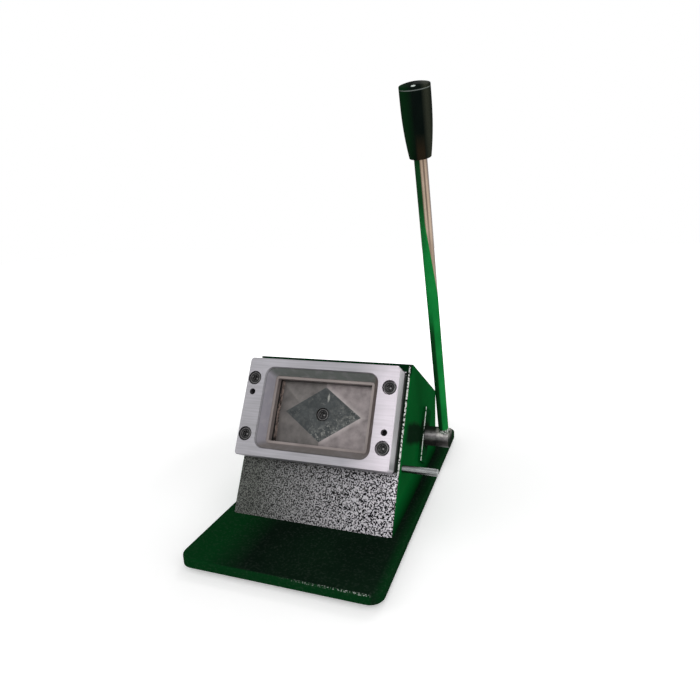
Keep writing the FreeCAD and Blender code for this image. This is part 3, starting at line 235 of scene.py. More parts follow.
FLOOR_HALF = 3
floor_corners = [(x, y, 0) for x, y in ((-1, -1), (1, -1), (1, 1), (-1, 1))]
floor_mesh = bpy.data.meshes.new("floor")
floor_mesh.from_pydata([Vector(corner) * FLOOR_HALF for corner in floor_corners], [], [(0, 1, 2, 3)])
floor = bpy.data.objects.new("floor", floor_mesh)
bpy.context.scene.collection.objects.link(floor)

paper = bpy.data.materials.new("pale_floor")
paper.use_nodes = True
paper_tree = paper.node_tree
paper_tree.nodes.clear()
matt = node(paper_tree, "ShaderNodeBsdfDiffuse", Color=(0.86, 0.86, 0.86, 1))
spot = node(paper_tree, "ShaderNodeTexCoord").outputs["Object"]
length = node(paper_tree, "ShaderNodeVectorMath", {"operation": "LENGTH"}, i0=spot)
glow_share = Sum(paper_tree, length.outputs["Value"]).between(0.2, 0.7) * 0.65 + 0.3
glow = node(paper_tree, "ShaderNodeEmission", Strength=sees_background(paper_tree) * glow_share)
both = node(paper_tree, "ShaderNodeAddShader", i0=matt.outputs[0], i1=glow.outputs[0])
node(paper_tree, "ShaderNodeOutputMaterial", Surface=both.outputs[0])
floor_mesh.materials.append(paper)
print("room light", ROOM_LIGHT)

# %% [markdown]
# A single hard lamp would burn a spot into the brushed die plate. Real studio lamps are boxes of cloth,
# so four square area lamps stand round the machine: a window in front, one to each side, and one
# behind that lifts the lever off the background.

# %% Lamps
LAMP_TARGET = Vector((0, 0, 0.1))
LAMPS = {  # place, side of the square, watts
    "window_lamp": ((0.2, -1.1, 0.9), 0.5, 5),
    "right_lamp": ((1.0, -0.6, 0.8), 1.2, 5),
    "left_lamp": ((-1.1, -0.7, 0.7), 1.2, 3),
    "back_lamp": ((0.2, 1.1, 1.2), 0.9, 6),
}
for name, (place, size, watts) in LAMPS.items():
    lamp = bpy.data.lights.new(name, "AREA")
    lamp.shape = "SQUARE"
    lamp.size, lamp.energy = size, watts
    standing = bpy.data.objects.new(name, lamp)
    standing.location = place
    standing.rotation_euler = (LAMP_TARGET - Vector(place)).to_track_quat("-Z", "Y").to_euler()
    bpy.context.scene.collection.objects.link(standing)
bpy.context.scene.view_settings.view_transform = "Standard"
print(len(LAMPS), "lamps")

# %% [markdown]
# ## How a finish is built
#
# Every finish below starts from one Principled shader. Numbers that are the same all over a surface,
# such as how strongly a clear coat shines, are set on the shader itself. What varies from place to
# place, such as grain, stains and wear, comes from noise read at the point in the room, so that a
# pattern has its true size in millimetres and runs on from one solid to the next.
#
# Noise stays near a half and seldom reaches 0 or 1, so `mottle` stretches its middle before it mixes
# two close colours with it. Colours are written as a screen shows them, from 0 to 255.

# %% Start a finish
def linear(screen_colour):
    """A screen colour, 0 to 255, as the linear one that shaders use."""
    shares = [value / 255 for value in screen_colour]
    return (*(v / 12.92 if v <= 0.04045 else ((v + 0.055) / 1.055) ** 2.4 for v in shares), 1)


class Finish:
    """A material with one Principled shader and a few ways to feed it."""

    def __init__(self, name, **numbers):
        self.material = bpy.data.materials.new(name)
        self.material.use_nodes = True
        self.tree = self.material.node_tree
        self.shader = self.tree.nodes["Principled BSDF"]
        self.place = node(self.tree, "ShaderNodeTexCoord").outputs["Object"]
        self.feed(**numbers)

    def feed(self, **sockets):
        for socket, value in sockets.items():
            plug(self.tree, self.shader.inputs[socket.replace("_", " ")], value)

    def along(self, direction, start=(0, 0, 0)):
        """How far a point lies from start in a direction, in metres."""
        offset = node(self.tree, "ShaderNodeVectorMath", {"operation": "SUBTRACT"}, i0=self.place, i1=start)
        product = node(
            self.tree, "ShaderNodeVectorMath", {"operation": "DOT_PRODUCT"}, i0=offset.outputs[0], i1=direction
        )
        return Sum(self.tree, product.outputs["Value"])

    @cached_property
    def across(self):
        """How far right of the front's middle a point lies; up_front and out are its other distances."""
        return self.along((1, 0, 0), FRONT_FOOT)

    @cached_property
    def up_front(self):
        return self.along(UP_FRONT, FRONT_FOOT)

    @cached_property
    def out(self):
        return self.along(OUT_OF_FRONT, FRONT_FOOT)

    @cached_property
    def from_punch(self):
        """How far up the front from the middle of the punch, less than 0 below it."""
        return self.up_front - PUNCH_MIDDLE

    def noise(self, grain_mm, detail=2.0, roughness=0.5, stretch=None):
        """Noise whose blotches are about grain_mm wide, stretched along the front's axes if asked."""
        place = self.place
        if stretch is not None:
            parts = [axis * share for axis, share in zip((self.across, self.up_front, self.out), stretch)]
            place = node(self.tree, "ShaderNodeCombineXYZ", i0=parts[0], i1=parts[1], i2=parts[2]).outputs[0]
        made = node(
            self.tree,
            "ShaderNodeTexNoise",
            Vector=place,
            Scale=1000 / grain_mm,
            Detail=detail,
            Roughness=roughness,
        )
        return Sum(self.tree, made.outputs["Fac"])

    def blend(self, share, first, second):
        """Goes from first to second with share; each is a screen colour or another blend."""
        first, second = (linear(each) if isinstance(each, tuple) else each for each in (first, second))
        return node(self.tree, "ShaderNodeMix", {"data_type": "RGBA"}, i0=share, i6=first, i7=second).outputs[2]

    def mottle(self, cloud, dark, light):
        """Two close colours in soft patches."""
        return self.blend(cloud.between(0.3, 0.7), dark, light)

    def bump(self, height, depth_mm):
        """Tilts the surface as if height, from 0 to 1, were so many millimetres."""
        made = node(self.tree, "ShaderNodeBump", Height=height, Distance=depth_mm / 1000, Strength=1.0)
        plug(self.tree, self.shader.inputs["Normal"], made.outputs[0])


print("finish helper ready")

# %% [markdown]
# ## Green-black enamel and hammertone
#
# The housing is one folded sheet with two paints. Its sides, top and rear, and the base below, have a
# smooth enamel, so deep a green that it is nearly black in shade. The sloping front has a hammertone:
# silver paint that shrinks into dark pits about a millimetre and a half apart as it dries.
#
# Real enamel mirrors its surroundings strongly at a grazing angle, which in a white room would wash the green
# out. A thin clear coat of low weight keeps a little gloss and lets the green through. The base is painted
# darkest in the middle and to the right, as painted shade from the housing, and painted a lighter green along
# its left side, its right rim and its front, as painted light. Its front edge has bright knocks.

# %% Base enamel
BASE_MIDDLE, BASE_FRONT = 0.00175, 0.150


def gloss_paint(name):
    return Finish(name, Specular_IOR_Level=0.0, Coat_Weight=0.005, Coat_Roughness=0.06)


def base_enamel():
    paint = gloss_paint("base_enamel")
    cloud = paint.noise(60, detail=3)
    from_middle = paint.across - BASE_MIDDLE
    forward = paint.along((0, -1, 0))
    # painted light: the left side, the right rim and the front face are painted a lighter green, and the middle
    # and right stay dark as painted shade
    lit_margin = from_middle.between(-0.026, -0.056) | from_middle.between(0.0725, 0.0790) * 0.8
    lit_front_face = forward.between(BASE_FRONT - 0.0014, BASE_FRONT - 0.0002) * 0.9
    green = paint.blend(lit_margin | lit_front_face, paint.mottle(cloud, (10, 22, 15), (14, 32, 20)), (7, 50, 21))
    peel = paint.noise(1.7, detail=2).between(0.52, 0.72)
    green = paint.blend(peel * 0.05, green, (120, 130, 122))
    # bright specks where the front edge has been knocked
    round_edge = paint.along((0, 0, 1)).between(BASE_TOP - 0.0013, BASE_TOP - 0.0008)
    knocked = forward.between(BASE_FRONT - 0.0013, BASE_FRONT - 0.0010) * round_edge
    knocked = knocked * paint.across.between(0.005, 0.060)
    chips = knocked * paint.noise(0.9, detail=2).between(0.56, 0.62) * 0.55
    paint.feed(
        Base_Color=paint.blend(chips, green, (210, 214, 208)),
        Roughness=cloud * 0.12 + 0.28,
        Metallic=chips * 0.6,
    )
    paint.bump(paint.noise(2.2, detail=1), 0.012)
    return paint.material


BASE_ENAMEL = base_enamel()
print("base enamel")

# %% [markdown]
# A folded sheet can't be given two materials without cutting its mesh, so the housing's paint is chosen by
# place: a point on the front plane, or on the bend beside it, gets the hammertone. The speckle is noise pushed
# through a steep ramp, fine and soft on the left and coarser toward the right, and it is painted brighter with
# darker pits toward the right, as painted light from that side. Beside the die plate it is painted dark as the
# plate's shadow, but for a broken painted highlight on the bend. A dark band on the right panel, running
# forward from the cross shaft, is a painted reflection of the shaft.

# %% Housing paint
BEND_START, PANEL_FACE = 0.0688, 0.0712
SHAFT_REFLECTION_COLOUR = (16, 26, 20)


def side_enamel(paint, cloud):
    """Green, with painted shade toward the base, darker on top, and a painted reflection of the shaft on the
    right panel.
    """
    level = paint.along((0, 0, 1))
    panel = paint.mottle(cloud, (6, 79, 32), (9, 90, 38))
    # painted shade toward the base
    panel = paint.blend(level.between(0.035, 0.012), panel, (3, 44, 17))
    # painted reflection of the shaft: a dark band that runs lower toward the front
    ragged = (paint.noise(16, detail=3) - 0.5) * 0.006
    sunk = ((paint.out + 0.070) | 0.0) * 0.12
    shaft_reflection = (abs(paint.from_punch + sunk) + ragged).between(0.0115, 0.0065)
    spread = paint.out.band(-0.096, -0.086, -0.014, -0.001) * paint.across.between(0.06, 0.07)
    panel = paint.blend(shaft_reflection * spread * 0.9, panel, SHAFT_REFLECTION_COLOUR)
    on_top = level.between(0.122, 0.126) * abs(paint.across).between(PANEL_FACE, PANEL_FACE - 0.0004)
    return paint.blend(on_top, panel, (4, 36, 16))


def hammertone(paint):
    """The colour of the silver speckle, and 1 on its flakes, 0 in its pits."""
    toward_right = paint.across.between(-0.055, 0.070)
    fine, coarse = paint.noise(0.95, detail=2), paint.noise(1.3, detail=2, roughness=0.55)
    speckle = (fine + toward_right.between(0.1, 0.8) * (coarse - fine)).between(0.455, 0.55)
    # painted light: flakes painted brighter and pits darker toward the right, as if lit from that side
    pit = paint.blend(toward_right, (50, 51, 50), (12, 12, 16))
    flake = paint.blend(toward_right, (98, 100, 96), (194, 191, 196))
    # painted shadow of the die plate beside it, but for a broken painted highlight where the sheet is bent
    reach = abs(paint.across)
    beside_die = reach.between(0.0668, 0.0674) * paint.up_front.between(0.047, 0.050)
    line = reach.between(BEND_START, BEND_START + 0.0003) * paint.noise(1.7, detail=3).between(0.44, 0.49)
    painted_light = paint.blend(line, (16, 26, 19), (206, 208, 204))
    return paint.blend(beside_die, paint.blend(speckle, pit, flake), painted_light), speckle


def housing_paint():
    paint = gloss_paint("housing_paint")
    cloud, skin = paint.noise(50, detail=3), paint.noise(2.2, detail=1)
    silver, speckle = hammertone(paint)
    # the front plane up to the die plate's top, and the bend beside it up to the corner
    on_bend = abs(paint.across).between(BEND_START - 0.0002, BEND_START)
    front = paint.out.between(-0.0014, -0.0010) * (paint.up_front.between(0.1330, 0.1320) | on_bend)
    paint.feed(
        Base_Color=paint.blend(front, side_enamel(paint, cloud), silver),
        Roughness=front * (0.44 - speckle * 0.1) + (1 - front) * (cloud * 0.12 + 0.28),
        Metallic=front * speckle * 0.45,
    )
    paint.bump(front * speckle * 0.08 + (1 - front) * skin * 0.012, 1.0)
    return paint.material


HOUSING_PAINT = housing_paint()
print("housing paint")

# %% [markdown]
# The plates that hold the shaft's bearings are enamelled with the housing, and their screws with them.
# Their front edge carries a thin, broken painted highlight, and beside the shaft they carry a dark band of
# painted reflection. An edge mask from Geometry's Pointiness needs a fine mesh and marks every edge. A mask by
# place marks only the one edge.

# %% Flange enamel
FLANGE_FRONT, FLANGE_FACE = -0.06275, 0.0737


def flange_enamel():
    paint = gloss_paint("flange_enamel")
    cloud = paint.noise(50, detail=3)
    green = paint.mottle(cloud, (4, 60, 25), (8, 80, 34))
    # painted reflection of the shaft: a dark band beside it
    shaft_reflection = abs(paint.from_punch).between(0.0145, 0.0095) * paint.across.between(0.06, 0.07)
    green = paint.blend(shaft_reflection * 0.85, green, (14, 26, 16))
    # painted highlight: a thin broken bright line along the front edge
    front_edge = paint.out.between(FLANGE_FRONT - 0.0001, FLANGE_FRONT + 0.0001)
    corner = front_edge * paint.across.between(FLANGE_FACE - 0.0002, FLANGE_FACE)
    painted_glint = corner * paint.noise(2.4, detail=2).between(0.42, 0.47)
    paint.feed(
        Base_Color=paint.blend(painted_glint, green, (206, 212, 206)),
        Roughness=cloud * 0.12 + 0.28,
        Metallic=painted_glint * 0.6,
    )
    paint.bump(paint.noise(2.2, detail=1), 0.012)
    return paint.material


FLANGE_ENAMEL = flange_enamel()
print("flange enamel")

# %% [markdown]
# ## Ground and blackened steel
#
# The die plate is ground flat and then rubbed along its length, so its grain is long across the front
# and fine up it. Inside the card opening the same block is milled: the sloping walls show the cutter's
# rounds as steps, and the narrow ledge at their foot is worn to a warm tan. Depth below the face picks
# between these, so one material follows the whole block.

# %% Die plate
DIE_FACE, DIE_HALF = 0.0223, 0.0674
POCKET_DEPTH = 0.0104
CUTTER_STEP = 0.0016


def brushed_face(steel, half):
    """Painted paler toward the window lamp on the right, a painted highlight; the plate's own edges are
    streaked the other way.
    """
    brushed = steel.noise(2.0, detail=4, stretch=(0.06, 1.3, 1))
    shade = (half + brushed.between(0.35, 0.65)) * 0.5
    to_the_left = steel.blend(shade, (134, 133, 136), (156, 154, 160))
    to_the_right = steel.blend(shade, (178, 172, 178), (198, 191, 199))
    # painted highlight: the face is painted paler toward the right
    face = steel.blend(steel.across.between(0.030, 0.060), to_the_left, to_the_right)
    streaks = steel.noise(1.6, detail=3, stretch=(1, 0.05, 1.4))
    edge = steel.blend(streaks.between(0.35, 0.7), (104, 115, 107), (160, 168, 161))
    return steel.blend(abs(steel.across).between(DIE_HALF - 0.00005, DIE_HALF + 0.0001), face, edge)


def milled_pocket(steel, half, depth):
    """Four walls, painted lighter or darker by the way each faces as painted light and shade, and the ledge at
    their foot, scuffed to tan.
    """
    # painted light and shade: the left wall is painted pale, the right wall dark, and the top and bottom walls
    # between them
    upright = steel.blend(steel.across.between(-0.01, 0.01), (144, 141, 149), (92, 82, 78))
    level = steel.blend(steel.from_punch.between(-0.01, 0.01), (132, 126, 124), (118, 123, 120))
    is_upright = ((abs(steel.across) - 0.0448) - (abs(steel.from_punch) - 0.029)).between(-0.0035, 0.0035)
    wall = steel.blend(is_upright, level, upright)
    # a painted shade line under the lip, a painted highlight above it on the left, and clouded walls
    wall = steel.blend(depth.band(0.0010, 0.0013, 0.0016, 0.0021) * 0.45, wall, (62, 60, 62))
    glint = depth.between(0.0012, 0.0009) * steel.across.between(-0.040, -0.045)
    wall = steel.blend(glint * 0.7, wall, (206, 202, 208))
    wall = steel.blend(steel.noise(7, detail=3).between(0.5, 0.75) * 0.3, wall, (176, 170, 174))
    ledge = steel.blend(half, (112, 104, 102), (140, 131, 128))
    return steel.blend(depth.between(POCKET_DEPTH - 0.0006, POCKET_DEPTH - 0.0002), wall, ledge)


def die_steel():
    steel = Finish("die_steel", Specular_IOR_Level=0.5)
    depth = DIE_FACE - steel.out
    grain = steel.noise(1.0, detail=3, stretch=(0.02, 1.6, 1.6))
    cloud = steel.noise(35, detail=3)
    half = cloud.between(0.3, 0.7)
    in_opening = abs(steel.across).between(0.0514, 0.0510) * abs(steel.from_punch).between(0.0356, 0.0352)
    inside = in_opening * depth.between(0.0009, 0.0011)
    rounds = (steel.out * (FULL_TURN / CUTTER_STEP)).math("SINE") * 0.5 + 0.5
    steel.feed(
        Base_Color=steel.blend(inside, brushed_face(steel, half), milled_pocket(steel, half, depth)),
        Metallic=0.75 - inside * 0.35 + cloud * 0.05,
        Roughness=grain * 0.14 + 0.28 + inside * 0.1,
    )
    steel.bump(grain * (1 - inside * 0.5) * 0.02 + inside * rounds * 0.02, 1.0)
    return steel.material


DIE_STEEL = die_steel()
print("die steel")

# %% [markdown]
# The punch is ground from its four corners, so four bright facets fall away from a diamond in the middle that
# the wheel never touched. All of the diamond lies at one level and every facet starts just below it, so the
# height alone tells them apart. A painted diamond would need its four edges measured. Dust from the cards
# settles on it, mostly low on the right. The gap on the left carries a painted shadow, broken by pale flecks.

# %% Punch
PUNCH_FACE = 0.0048


def ground_facets(steel, half):
    """Painted paler on the right as painted light, with a painted reflection in a ray from the upper left
    corner, and a painted shadow at the left edge broken by pale flecks.
    """
    # painted light: the facets on the right are painted paler than those on the left
    left = steel.blend(half, (80, 77, 76), (104, 100, 98))
    right = steel.blend(half, (98, 92, 92), (134, 126, 126))
    facets = steel.blend(steel.across.between(-0.0004, 0.0004), left, right)
    # a painted reflection, a ray from the upper left corner, at right angles to this distance
    from_ray = (steel.across + 0.0428) * 0.676 + (steel.from_punch - 0.027) * 0.736
    ray = from_ray.band(-0.0010, 0.0004, 0.0004, 0.0055) * steel.across.between(-0.005, -0.012)
    facets = steel.blend(ray * 0.16, facets, (158, 154, 150))
    # painted shadow in the gap on the left, broken by pale flecks
    gap_flecks = steel.noise(2.4, detail=3, roughness=0.7, stretch=(1.6, 0.6, 1))
    fringe = steel.blend(gap_flecks.between(0.42, 0.58), (28, 21, 19), (150, 132, 124))
    facets = steel.blend(steel.across.between(-0.0398, -0.0404) * 0.85, facets, fringe)
    # the edges between facets and diamond shine a little on the right
    brink = steel.out.between(PUNCH_FACE - 0.00030, PUNCH_FACE - 0.00005)
    return steel.blend(brink * steel.across.between(0.0, 0.004) * 0.3, facets, (190, 182, 180))


def card_dust(steel):
    """Specks and a thin film, most of them low on the right, and one longer smudge above."""
    dust = steel.noise(2.0, detail=4, roughness=0.75)
    low_right = (steel.across - steel.from_punch * 1.5).between(-0.005, 0.03)
    specks = (dust + low_right * 0.09).between(0.61, 0.78)
    from_smudge = square_sum((steel.across - 0.0035) / 0.0012, (steel.from_punch - 0.0145) / 0.0045)
    smudge = from_smudge.between(1.0, 0.2) * dust.between(0.40, 0.50)
    film = steel.noise(5, detail=4, roughness=0.65).between(0.48, 0.70) * (low_right * 0.2 + 0.14)
    return specks | smudge | film


def punch_steel():
    steel = Finish("punch_steel", Specular_IOR_Level=0.4)
    diamond = steel.out.between(PUNCH_FACE - 0.00003, PUNCH_FACE - 0.00001)
    half = steel.noise(9, detail=4, roughness=0.6).between(0.3, 0.7)
    untouched = steel.blend(half, (33, 38, 39), (59, 63, 64))
    face = steel.blend(diamond, ground_facets(steel, half), untouched)
    grain = steel.noise(1.2, detail=3, stretch=(1.4, 0.04, 1))
    steel.feed(
        Base_Color=steel.blend(card_dust(steel) * diamond * 0.6, face, (172, 172, 166)),
        Metallic=0.6 - diamond * 0.3,
        Roughness=grain * 0.15 + 0.36,
    )
    steel.bump(grain, 0.02)
    return steel.material


PUNCH_STEEL = punch_steel()
print("punch steel")

# %% [markdown]
# The other metals are two close colours and a fine grain. They could all share one material, but
# blackened screws, bronze bushes and bright pins tell the viewer how the machine goes together, so each
# has a tone of its own.

# %% Plain metals
def metal(name, dark, light, roughness, stretch=None, metallic=1.0):
    """A turned, ground or blackened metal: two close colours, and a fine grain in its gloss."""
    finish = Finish(name, Metallic=metallic)
    cloud = finish.noise(14, detail=3)
    grain = finish.noise(1.2, detail=2, stretch=stretch)
    finish.feed(
        Base_Color=finish.mottle(cloud, dark, light),
        Roughness=grain * 0.12 + (cloud * 0.08 + (roughness - 0.1)),
    )
    finish.bump(grain, 0.012)
    return finish.material


BRIGHT_STEEL = metal("bright_steel", (104, 106, 106), (136, 138, 138), 0.24, stretch=(0.05, 1, 1))
BLACK_STEEL = metal("black_steel", (26, 28, 28), (42, 44, 43), 0.45, metallic=0.6)
BLACK_OXIDE = metal("black_oxide", (34, 34, 37), (64, 63, 65), 0.34, metallic=0.8)
BRONZE = metal("bronze", (150, 104, 58), (186, 138, 84), 0.38)
SPRING_WIRE = metal("spring_wire", (96, 96, 100), (140, 140, 142), 0.32)
print("plain metals")

# %% [markdown]
# A blackened cap screw gets painted reflections, bright rings round the rim and round the mouth of its socket,
# and a painted highlight deep in the socket. Those are rings about the screw's own axis. The four seats in the
# die plate lie alike to both sides of its middle, so the distance from any of them is one sum of absolute
# values.
#
# The shaft is dark turned steel with a brownish shine. A paler band along its front is a painted highlight, its
# top is painted dark as painted shade, its end is painted dark green, and it is scraped round the foot of the
# rod. The dowels sit deep and are painted nearly black as painted shade.

# %% Screw heads, dowels and shaft
DIE_SCREW_SEAT = (0.0603, 0.02415)
SHAFT_END = 0.0970


def screw_black(name, across_seat=0, up_seat=0):
    """Blackened head with painted reflections round its rim and its socket's mouth and a painted highlight in
    the socket; the seats lie alike on all four sides of the middle.
    """
    screw = Finish(name, Specular_IOR_Level=0.2)
    from_axis = square_sum(abs(screw.across) - across_seat, abs(screw.from_punch) - up_seat).math("SQRT")
    cloud = screw.noise(3, detail=3)
    # painted reflections: bright rings round the rim and round the socket's mouth
    rim = from_axis.band(0.0040, 0.0043, 0.0047, 0.0050) * (cloud * 0.25 + 0.1)
    mouth = from_axis.band(0.0023, 0.0025, 0.0028, 0.0031) * 0.14
    painted_glint = rim | mouth
    # painted highlight deep in the socket
    fleck = from_axis.between(0.0009, 0.0005) * 0.7
    screw.feed(
        Base_Color=screw.blend(painted_glint | fleck, screw.mottle(cloud, (9, 10, 11), (25, 25, 26)), (176, 174, 174)),
        Metallic=painted_glint * 0.3 + 0.3,
        Roughness=cloud * 0.1 + 0.3,
    )
    screw.bump(screw.noise(1.0, detail=1), 0.01)
    return screw.material


def dark_pin():
    # painted shade: the dowels sit deep, so they are painted nearly black
    pin = Finish("dark_pin", Specular_IOR_Level=0.05)
    grain = pin.noise(1.2, detail=2)
    pin.feed(Base_Color=pin.mottle(grain, (7, 8, 8), (22, 22, 23)), Roughness=grain * 0.2 + 0.4)
    return pin.material


def shaft_steel():
    shaft = Finish("shaft_steel", Specular_IOR_Level=0.0)
    reach, level = shaft.along((1, 0, 0), SHAFT), shaft.along((0, 0, 1), SHAFT)
    cloud = shaft.noise(5, detail=4, roughness=0.65)
    grain = shaft.noise(1.2, detail=2, stretch=(0.05, 1, 1))
    brown = shaft.mottle(cloud, (50, 50, 50), (84, 80, 79))
    painted_light = shaft.mottle(cloud, (92, 90, 92), (142, 138, 138))
    # painted highlight: a paler band along the front of the shaft
    brown = shaft.blend(level.band(-0.001, 0.002, 0.0058, 0.0078), brown, painted_light)
    # painted shade along the top, and the end painted dark green
    dark_top_and_end = level.between(0.0066, 0.0082) | reach.between(SHAFT_END - 0.0013, SHAFT_END - 0.0007)
    brown = shaft.blend(dark_top_and_end * 0.85, brown, (12, 30, 18))
    scraped = abs(reach - ROD_REACH).between(0.0075, 0.0045) * level.between(0.002, 0.006)
    shaft.feed(
        Base_Color=shaft.blend(scraped * cloud.between(0.35, 0.6), brown, (188, 186, 180)),
        Metallic=0.8 - dark_top_and_end * 0.8,
        Roughness=grain * 0.1 + cloud * 0.1 + 0.2,
    )
    shaft.bump(grain, 0.012)
    return shaft.material


DIE_SCREW, PUNCH_SCREW = screw_black("die_screw", *DIE_SCREW_SEAT), screw_black("punch_screw")
DARK_PIN, SHAFT_STEEL = dark_pin(), shaft_steel()
print("screw heads, dowels and shaft")

# %% [markdown]
# ## Lever, grip and feet
#
# The lever is a polished rod whose lower half is enamelled green, with the coat running up on one side.
# Where the coat ends is a slanting line, so it is found from two distances: along the rod, and across
# it. Both are measured from the rod's foot on the shaft, in the rod's own directions, because a lever
# that leans has no use for the room's.

# %% Rod
LEAN = math.radians(20.7)
UP_ROD = Vector((0, -math.sin(LEAN), math.cos(LEAN)))
ROD_FOOT = SHAFT + Vector((ROD_REACH, 0, 0))
ROD_RADIUS = 0.0045
# sideways over the rod, for someone who stands in front of it and to its right
ACROSS_ROD = Vector((0.945, 0.3055, 0.1155))
NEAR_ROD = ACROSS_ROD.cross(UP_ROD)
COAT_TOP, COAT_SLANT = 0.2444, 0.0984


def polished(rod, half, bare_side, height):
    """Warm chrome, painted darker far round as painted shade, with a painted dark reflection down it and
    another where the coat begins.
    """
    chrome = rod.blend(half, (128, 112, 97), (160, 143, 126))
    # painted shade far round the rod, then two painted dark reflections running down it
    chrome = rod.blend(bare_side.between(0.80, 0.97) * 0.8, chrome, (84, 70, 72))
    line = bare_side.band(0.54, 0.58, 0.66, 0.72) * height.between(0.17, 0.22)
    return rod.blend((line | bare_side.between(0.42, 0.38)) * 0.75, chrome, (66, 54, 46))


def enamelled(rod, half, bare_side, height, strip):
    """Green, with painted shade along one edge, low down and again higher up, and chipped away where the rod
    enters the shaft.
    """
    green = rod.blend(half, (12, 112, 48), (24, 132, 60))
    # painted shade along the rod's edge
    shaded = bare_side.between(0.42, 0.30) * height.between(0.140, 0.115)
    green = rod.blend((shaded | strip * height.between(0.185, 0.225)) * 0.85, green, (14, 40, 20))
    chips = rod.noise(1.6, detail=2).between(0.42, 0.55)
    return rod.blend(height.between(0.0130, 0.0115), green, rod.blend(chips, (46, 50, 46), (196, 204, 196)))


def rod_finish():
    rod = Finish("lever_rod", Specular_IOR_Level=0.0, Coat_Weight=0.03, Coat_Roughness=0.05)
    height = rod.along(UP_ROD, ROD_FOOT)
    # 0 on the side where the coat runs up to the grip, 1 on the bare side
    bare_side = rod.along(ACROSS_ROD, ROD_FOOT).between(-ROD_RADIUS, ROD_RADIUS)
    strip = bare_side.between(0.36, 0.33)
    coated = (height - (COAT_TOP - bare_side * COAT_SLANT)).between(0.001, -0.001) | strip
    cloud = rod.noise(20, detail=2)
    half = cloud.between(0.3, 0.7)
    chrome, green = polished(rod, half, bare_side, height), enamelled(rod, half, bare_side, height, strip)
    rod.feed(
        Base_Color=rod.blend(coated, chrome, green),
        Metallic=(1 - coated) * 0.9,
        Roughness=coated * 0.22 + 0.14 + cloud * 0.04,
    )
    rod.bump(rod.noise(1.5, detail=1), 0.004)
    return rod.material


ROD = rod_finish()
print("rod")

# %% [markdown]
# The grip is moulded plastic, smooth and black. Its polish takes up what stands round it, so it is a little
# green to the left, olive to the right and tan low down, over the rod. A mirror finish would show the bare
# white room there, so these tints are mixed into the colour as painted reflections. A painted highlight runs
# round the edge of its domed top, and a small painted highlight sits on the dome. The feet are matt rubber.

# %% Plastic and rubber
GRIP_EDGE = 0.2988
HIGHLIGHT_SIDE, HIGHLIGHT_NEAR = -0.0016, 0.0078


def plastic_finish():
    grip = Finish("grip_plastic", Specular_IOR_Level=0.0, Coat_Weight=0.03, Coat_Roughness=0.04)
    height = grip.along(UP_ROD, ROD_FOOT)
    side, near_side = grip.along(ACROSS_ROD, ROD_FOOT), grip.along(NEAR_ROD, ROD_FOOT)
    cloud = grip.noise(12, detail=2, stretch=(1, 0.15, 1))
    black = grip.mottle(cloud, (0, 6, 5), (7, 16, 11))
    black = grip.blend(side.between(-0.003, -0.0080) * 0.9, black, (1, 38, 11))
    black = grip.blend(side.band(0.0025, 0.0055, 0.0070, 0.0100) * 0.8, black, (48, 51, 41))
    over_rod = side.band(-0.0035, -0.0020, 0.0020, 0.0035) * height.between(0.273, 0.262)
    black = grip.blend(over_rod * near_side.between(0.0, 0.003) * 0.7, black, (42, 32, 20))
    # painted highlights: a thin line round the edge of the dome, and a small spot on its top
    line = height.band(GRIP_EDGE - 0.0004, GRIP_EDGE - 0.0001, GRIP_EDGE + 0.0001, GRIP_EDGE + 0.0004)
    line = line * near_side.between(0.0, 0.006) * 0.25
    from_highlight = square_sum((side - HIGHLIGHT_SIDE) / 0.0016, (near_side - HIGHLIGHT_NEAR) / 0.0013)
    top_highlight = from_highlight.between(1.0, 0.5) * height.between(0.29, 0.292)
    grip.feed(Base_Color=grip.blend(line | top_highlight, black, (198, 208, 202)), Roughness=cloud * 0.1 + 0.2)
    grip.bump(grip.noise(1.8, detail=1), 0.01)
    return grip.material


def rubber_finish():
    rubber = Finish("foot_rubber", Specular_IOR_Level=0.3)
    grain = rubber.noise(0.8, detail=3)
    rubber.feed(Base_Color=rubber.mottle(grain, (26, 27, 27), (46, 46, 46)), Roughness=grain * 0.2 + 0.6)
    rubber.bump(grain, 0.04)
    return rubber.material


PLASTIC, RUBBER = plastic_finish(), rubber_finish()
print("plastic and rubber")

# %% [markdown]
# ## Every solid gets its finish
#
# Each solid already has a material slot from the CAD model. Naming all 48 would be a long list, and
# many of them are bright steel, so only the others are named. Pairs, screws and feet are told by the
# start or the end of their names.

# %% Put the finishes on the solids
FINISHES = {
    "housing_shell": HOUSING_PAINT,
    "rear_cover": HOUSING_PAINT,
    "base_plate": BASE_ENAMEL,
    "die_plate": DIE_STEEL,
    "die_dowels": DARK_PIN,
    "punch": PUNCH_STEEL,
    "punch_screw": BLACK_OXIDE,
    "guide_plate": BLACK_STEEL,
    "cam_shaft": SHAFT_STEEL,
    "lever_rod": ROD,
    "lever_grip": PLASTIC,
}
BY_START = {
    "bearing_flange_": FLANGE_ENAMEL,
    "flange_screws_": FLANGE_ENAMEL,
    "spacer_strip_": BLACK_STEEL,
    "ram_bush_": BRONZE,
    "shaft_bush_": BRONZE,
}


def finish_for(name):
    if name in FINISHES:
        return FINISHES[name]
    for start, finish in BY_START.items():
        if name.startswith(start):
            return finish
    if name.endswith("screws"):
        return BLACK_OXIDE
    return RUBBER if name.startswith("foot_") else BRIGHT_STEEL


for name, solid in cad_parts.items():
    for slot in solid.material_slots:
        slot.material = finish_for(name)
print("finishes on", len(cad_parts), "solids")

